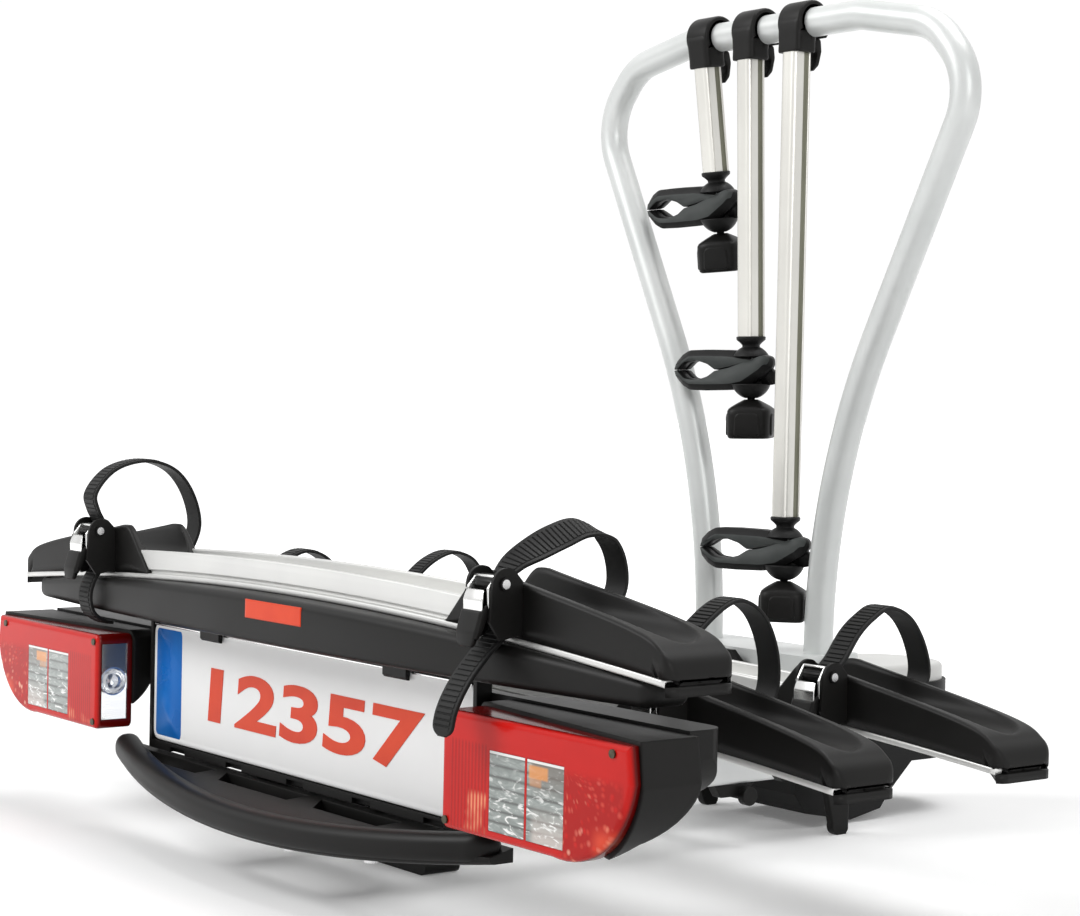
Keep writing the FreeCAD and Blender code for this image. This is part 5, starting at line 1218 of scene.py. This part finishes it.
clawSet = {"half": 13.5, "tipFrom": 76.0, "tipReach": 20.0, "tipLeast": 0.16, "tailFrom": -10.0,
           "tailReach": 24.0, "tailLeast": 0.1, "ball": 20.5, "upper": (5.0, 14.0, 24.8),
           "lower": (9.0, 14.0, 28.5)}


def jawLoops(s):
    # side outlines of the upper jaw, u along the jaw and w up: the half with the tail and the half without
    tip, crest = s.get("tip", 90.0), 21.0
    eye = [(36, 0.12, 2), (45, 5.8, 9), (58, 9.6, 12), (73, 8.2, 10), (tip - 5.0, 0.12, 1.5)]
    outer = [(tip, 0.12, 0.3), (tip, 8.0, 3), (tip - 8, 15.5, 8), (tip - 17, 20.5, 14), (50, crest, 60),
             (20, crest - 0.6, 60)]
    plain = [(-13, 10.5, 2), (20, 2.8, 8)] + eye + outer + [(-8, 16.8, 8), (-13, 15.5, 3)]
    tail = [(-28.5, -13.0, 5), (-20, -15.5, 6), (-6, -11.0, 18), (20, -2.8, 16)]
    tailed = tail + eye + outer + [(2, 17.5, 20), (-20, 4.5, 14), (-28.8, -4.0, 6)]
    return plain, tailed


def jawMesh(loop, d0, d1, outerSide, edge=6.0, bevel=6.4):
    # the outline pushed from d0 to d1; on the seen side it draws in by bevel * weight,
    # weight = clip((how far the rim faces up + 0.05) / 0.45, 0.1, 1), smoothed
    out = loopNormals(loop)
    n = len(loop)
    weight = np.clip((out[:, 1] + 0.05) / 0.45, 0.1, 1.0)
    weight = np.convolve(np.concatenate([weight[-6:], weight, weight[:6]]), np.ones(13) / 13, "valid")
    levels = [(0.0, 1.0), (0.03, 0.94), (0.5, 0.47), (0.88, 0.08), (1.0, 0.0)]
    rings = [(d0 + edge * t, k) for t, k in levels] + [(d1, 0.0)]
    if outerSide > 0:
        rings = [(d0, 0.0)] + [(d1 - edge * t, k) for t, k in levels[::-1]]
    pts = []
    for level, k in rings:
        p = loop - out * (bevel * k * weight)[:, None]
        pts.append(np.stack([p[:, 0], np.full(n, level), p[:, 1]], -1))
    pts = np.vstack(pts)
    faces = gridFaces(len(rings), n, wrapV=True)
    return pts, faces + endCaps(len(rings), n), len(faces)


def domeMesh(radius, level, cut, top):
    # a ball's cap between two heights: ring radius = sqrt(r^2 - (w - level)^2)
    ws = np.linspace(cut, top, 20)
    a = circle(48)
    rings = []
    for w in ws:
        r = math.sqrt(max(radius**2 - (w - level) ** 2, 0.5))
        rings.append(np.stack([r * np.cos(a), r * np.sin(a), np.full(48, w)], -1))
    return loftMesh(rings)


def makeClaw(name, a, s):
    # two outlines pushed side by side and slimmed in plan towards tip and tail, with a ball's cap on top;
    # the lower jaw is the upper one turned by half a turn
    plain, tailed = jawLoops(a)
    plain = denseLoop(plain, 0.9)
    tailed = denseLoop(tailed, 0.9)
    turn = 270 - a["yaw"]
    for which in ("upper", "lower"):
        near = jawMesh(tailed, -s["half"], 0.0, -1)
        far = jawMesh(plain, 0.0, s["half"], 1)
        pts = np.vstack([near[0], far[0]])
        faces = near[1] + [[i + len(near[0]) for i in f] for f in far[1]]
        capFaces = {near[2], len(near[1]) + far[2] + 1}
        u = pts[:, 0]
        slim = narrowing(u - s["tipFrom"], s["tipReach"], s["tipLeast"])
        pts[:, 1] *= slim * narrowing(s["tailFrom"] - u, s["tailReach"], s["tailLeast"])
        dome, domeFaces = domeMesh(s["ball"], *s[which])
        count = len(pts)
        pts = np.vstack([pts, dome])
        faces += [[i + count for i in f] for f in domeFaces]
        if which == "lower":
            pts = turnAbout(pts, np.zeros(3), "x", 180)
        pts = turnAbout(pts, np.zeros(3), "z", turn) + np.array([a["x"], armY, a["z"]])
        node = "%s_jaw_%s" % (which, name)
        piece = newPiece("claw_%s_%s" % (which, name), onArm(pts, a), faces, "%s_claw_%s" % (which, name),
                         clawRim, [node])
        piece.data.materials.append(clawFace)
        index = np.zeros(len(piece.data.polygons), np.int32)
        for k in capFaces:
            index[k] = 1
        piece.data.polygons.foreach_set("material_index", index)
        outward(piece)


def superRing(half, power, level, turn, centre):
    # rounded square: |x|^p + |y|^p = half^p
    t = circle(72)
    c, s = np.cos(t), np.sin(t)
    r = half / (np.abs(c) ** power + np.abs(s) ** power) ** (1 / power)
    p = np.stack([r * c, r * s, np.full(72, level)], -1)
    return turnAbout(p, np.zeros(3), "z", turn) + centre


knobSet = {"turn": 20.0, "pad": (-23.9, -20.0), "padEdge": 1.4,
           "padLoop": [(-13.5, -66.5, 3.0), (13.5, -66.5, 3.0), (12.0, -43.5, 6.0), (-12.0, -43.5, 6.0)],
           "shape": [(7.0, 2.0, -30.0), (9.5, 2.1, -31.2), (14.5, 2.5, -34.0), (19.4, 3.2, -37.2),
                     (21.6, 3.8, -39.2), (22.6, 4.2, -41.6), (22.8, 4.6, -46.0), (22.6, 4.8, -56.0),
                     (22.6, 4.8, -65.0), (22.0, 4.7, -68.0), (20.6, 4.4, -69.4), (8.0, 3.0, -69.7)]}


def makeKnob(name, a, s):
    # rounded-square rings: narrow neck, sloped shoulder, slightly flared sides and a rounded foot
    centre = np.array([a["x"], armY, a["z"]])
    turn = 270 - a["yaw"] + s["turn"]
    parts = [loftMesh([superRing(h, p, z, turn, centre) for h, p, z in s["shape"]])]
    # a raised pad on each flat side
    loop = denseLoop(s["padLoop"], 1.2)
    for k in range(4):
        pts, fcs = slabMesh(loop, *s["pad"], s["padEdge"], "y", 5)
        pts = turnAbout(pts, np.zeros(3), "z", turn + 90 * k) + centre
        parts.append((pts, fcs))
    points, faces = merged(parts)
    addPiece("knob_" + name, onArm(points, a), faces, "clamp_knob_" + name, "black_plastic",
             ["clamp_knob_" + name])


hookSet = {"outer": 22.0, "inner": 15.0, "open": (-38, 213), "half": 15.8, "edge": 2.6,
           "block": (15.4, 13.4), "corner": 5.0,
           "levels": ((-29.6, 0.955), (-28.6, 0.99), (-27.0, 1.0), (-20, 0.985), (-12, 1.0), (-2.0, 1.02),
                      (2.0, 0.97)),
           "tonguePlace": (13.0, -18.0), "tongueHalf": 6.5,
           "tongue": [(-4, 4.5, 3.5), (5, 4.5, 3.5), (6.5, -8, 8), (3, -22, 8), (-4.5, -29, 1.6),
                      (-6.0, -26.5, 1.4), (-0.5, -18, 7), (0.5, -9, 5), (-4.5, -3, 3)]}


def makeHook(name, a, s):
    # C-shaped wrap over the top tube in the y-z plane, open towards the car, with a block round the bar
    x = a["x"]
    t = np.radians(np.linspace(*s["open"], 60))
    tube, clear = np.array([archY, archTop]), s["inner"]
    outer = tube + s["outer"] * np.stack([np.cos(t), np.sin(t)], -1)
    inner = tube + clear * np.stack([np.cos(t[::-1]), np.sin(t[::-1])], -1)
    loop = anticlockwise(evenly(np.vstack([outer, inner, outer[:1]]), 1.0)[:-1])
    parts = [slabMesh(loop, x - s["half"], x + s["half"], s["edge"], "x", 5)]
    # block round the bar: rounded-rectangle rings, waisted a little
    w, d = s["block"]
    rects = [roundedRect(-w * k, w * k, -d * k, d * k, s["corner"], 1.6) for _, k in s["levels"]]
    n = min(len(r) for r in rects)
    share = np.linspace(0, 1, n, endpoint=False)
    rings = []
    for r, (z, _) in zip(rects, s["levels"]):
        # n points at even shares of the closed outline
        p, q = (np.interp(share, np.arange(len(r) + 1) / len(r), np.append(r[:, c], r[0, c])) for c in (0, 1))
        rings.append(np.stack([x + p, armY + q, np.full(n, archTop + z)], -1))
    # the block stays below the tube: points inside the tube's circle are moved out to it
    pts, fcs = loftMesh(rings)
    d = pts[:, 1:] - tube
    r = np.linalg.norm(d, axis=1)
    close = r < clear
    pts[close, 1:] = tube + d[close] / np.maximum(r[close], 0.5)[:, None] * clear
    parts.append((pts, fcs))
    points, faces = merged(parts)
    addPiece("hook_" + name, onArm(points, a), faces, "frame_arm_" + name, "black_plastic",
             ["arm_hook_" + name])
    # its small lever: a hooked tongue
    y, z = archY + s["tonguePlace"][0], archTop + s["tonguePlace"][1]
    tongue = denseLoop(moved(y, z, s["tongue"]), 0.8)
    points, faces = slabMesh(tongue, x - s["tongueHalf"], x + s["tongueHalf"], 1.3, "x", 4)
    addPiece("hookTongue_" + name, onArm(points, a), faces, "hook_lever_" + name, "black_plastic",
             ["hook_lever_" + name])


studSet = {"profile": [(0.01, 34.0), (14.6, 34.0), (15.0, 33.2), (14.8, 30.8), (11.0, 27.6), (9.0, 25.4),
                       (9.0, 22.0), (11.2, 19.5), (12.0, 15.0), (11.0, 9.0), (6.0, 4.4), (3.9, 3.0),
                       (3.9, -57.4), (3.2, -58.0), (0.01, -58.0)], "around": 48}


def makeStud(name, a, s):
    # arm's end: a flared collar, a necked ball and the spindle, one turned piece
    c = np.array([a["x"], armY, a["z"]])
    n = s["around"]
    t = circle(n)
    rings = []
    for r, z in s["profile"]:
        rings.append(np.stack([c[0] + r * np.cos(t), c[1] + r * np.sin(t), np.full(n, c[2] + z)], -1))
    points, faces = loftMesh(rings)
    addPiece("stud_" + name, onArm(points, a), faces, "frame_arm_" + name, "black_metal",
             ["ball_stud_" + name])


barSection = {"half": 10.0, "rear": -12.0, "front": 11.0, "corner": 5.0, "grooveRear": 1.2,
              "grooveFront": 8.0, "deep": 1.8, "top": 694.0, "foot": 33.6}


def makeArmBar(name, a, s):
    # drawn section carried straight up: flat back with wide corners, and one groove along each side, its faces
    # in a darker metal as painted shade
    h, d = s["half"], s["half"] - s["deep"]
    side = [(h, s["rear"], s["corner"]), (h, s["grooveRear"], 0.8), (d, s["grooveRear"] + 0.5, 0.4),
            (d, s["grooveFront"] - 0.5, 0.4), (h, s["grooveFront"], 0.8), (h, s["front"], 2.2)]
    loop = denseLoop([(-x, y, r) for x, y, r in side[::-1]] + side, 0.7)
    n = len(loop)
    low = a["z"] + s["foot"]
    zs = np.concatenate([[low], np.linspace(low + 1, s["top"] - 1, 24), [s["top"]]])
    rings = [np.stack([a["x"] + loop[:, 0], armY + loop[:, 1], np.full(n, z)], -1) for z in zs]
    points, faces = loftMesh(rings)
    piece = newPiece("armBar_" + name, onArm(points, a), faces, "frame_arm_" + name,
                     finishes["anodised_bar"], ["arm_bar_" + name])
    piece.data.materials.append(grooveShadeMetal)
    wide, along = np.abs(loop[:, 0]), loop[:, 1]
    inGroove = (wide < h - 0.35) & (along > s["grooveRear"] - 0.2) & (along < s["grooveFront"] + 0.2)
    index = [1 if len(p.vertices) == 4 and all(inGroove[v % n] for v in p.vertices) else 0
             for p in piece.data.polygons]
    piece.data.polygons.foreach_set("material_index", np.array(index, np.int32))
    return outward(piece)


# painted shade: a dark olive copy of the bar metal for the grooves' faces
grooveShadeMetal = metal("barGrooveShade", {"dark": (0.16, 0.16, 0.115), "light": (0.22, 0.22, 0.165), "cloud": 12.0,
        "stretch": (2600, 2600, 5), "rough": (0.35, 0.5), "bump": 0.06, "metallic": 0.4})
for name, a in armSet.items():
    makeArmBar(name, a, barSection)
    makeClaw(name, a, clawSet)
    makeKnob(name, a, knobSet)
    makeHook(name, a, hookSet)
    makeStud(name, a, studSet)
print("arms made")


# lamp housings, lens screws and buckle pins get finishes of their own
housingBlack = plastic("lampHousing", {"dark": (0.0065, 0.0063, 0.006), "light": (0.0105, 0.010, 0.0095),
        "cloud": 9.0, "rough": (0.38, 0.48), "grain": 1400.0, "bump": 0.22, "edge": 0.003})
refinish("lamp_housings", housingBlack)
screwDark = metal("darkScrew", {"dark": (0.05, 0.045, 0.03), "light": (0.12, 0.11, 0.08), "cloud": 300.0,
        "stretch": (500, 500, 500), "rough": (0.3, 0.5), "bump": 0.3})
refinish("lens_screws", screwDark)


def pinMaterial(centres, radius):
    # bright steel, black in a ring round every centre: radius < distance to the centre < 8 mm
    m, tree, bsdf = blank("pinSteel")
    lines = groupNode(tree, drawnLines, Stretch=(900, 900, 900)).outputs["Lines"]
    _, _, y, z = pointPlace(tree)
    mask = None
    for cy, cz in centres:
        dy = mathNode(tree, "SUBTRACT", y, cy)
        dz = mathNode(tree, "SUBTRACT", z, cz)
        ring = stepBand(tree, length2(tree, dy, dz), radius, 0.008, 0.0001)
        mask = ring if mask is None else mathNode(tree, "MAXIMUM", mask, ring)
    steel = mixColour(tree, lines, (0.55, 0.55, 0.56), (0.70, 0.70, 0.70))
    feed(tree, bsdf, {"Base Color": mixColour(tree, mask, steel, (0.008, 0.008, 0.008)),
                      "Metallic": mathNode(tree, "SUBTRACT", 1.0, mask),
                      "Roughness": spread(tree, lines, 0.2, 0.34), "Specular IOR Level": 0.15})
    return m


pinPlaces = []
for y, z in rows.values():
    spot = place([[0, y - leverSet["half"] - leverSet["pinOut"],
                   z - crownDrop(strapX) + leverSet["pinZ"]]])[0]
    pinPlaces.append((float(spot[1]), float(spot[2])))
refinish("pivot_pins", pinMaterial(pinPlaces, 0.0036))
print("lamps finished")
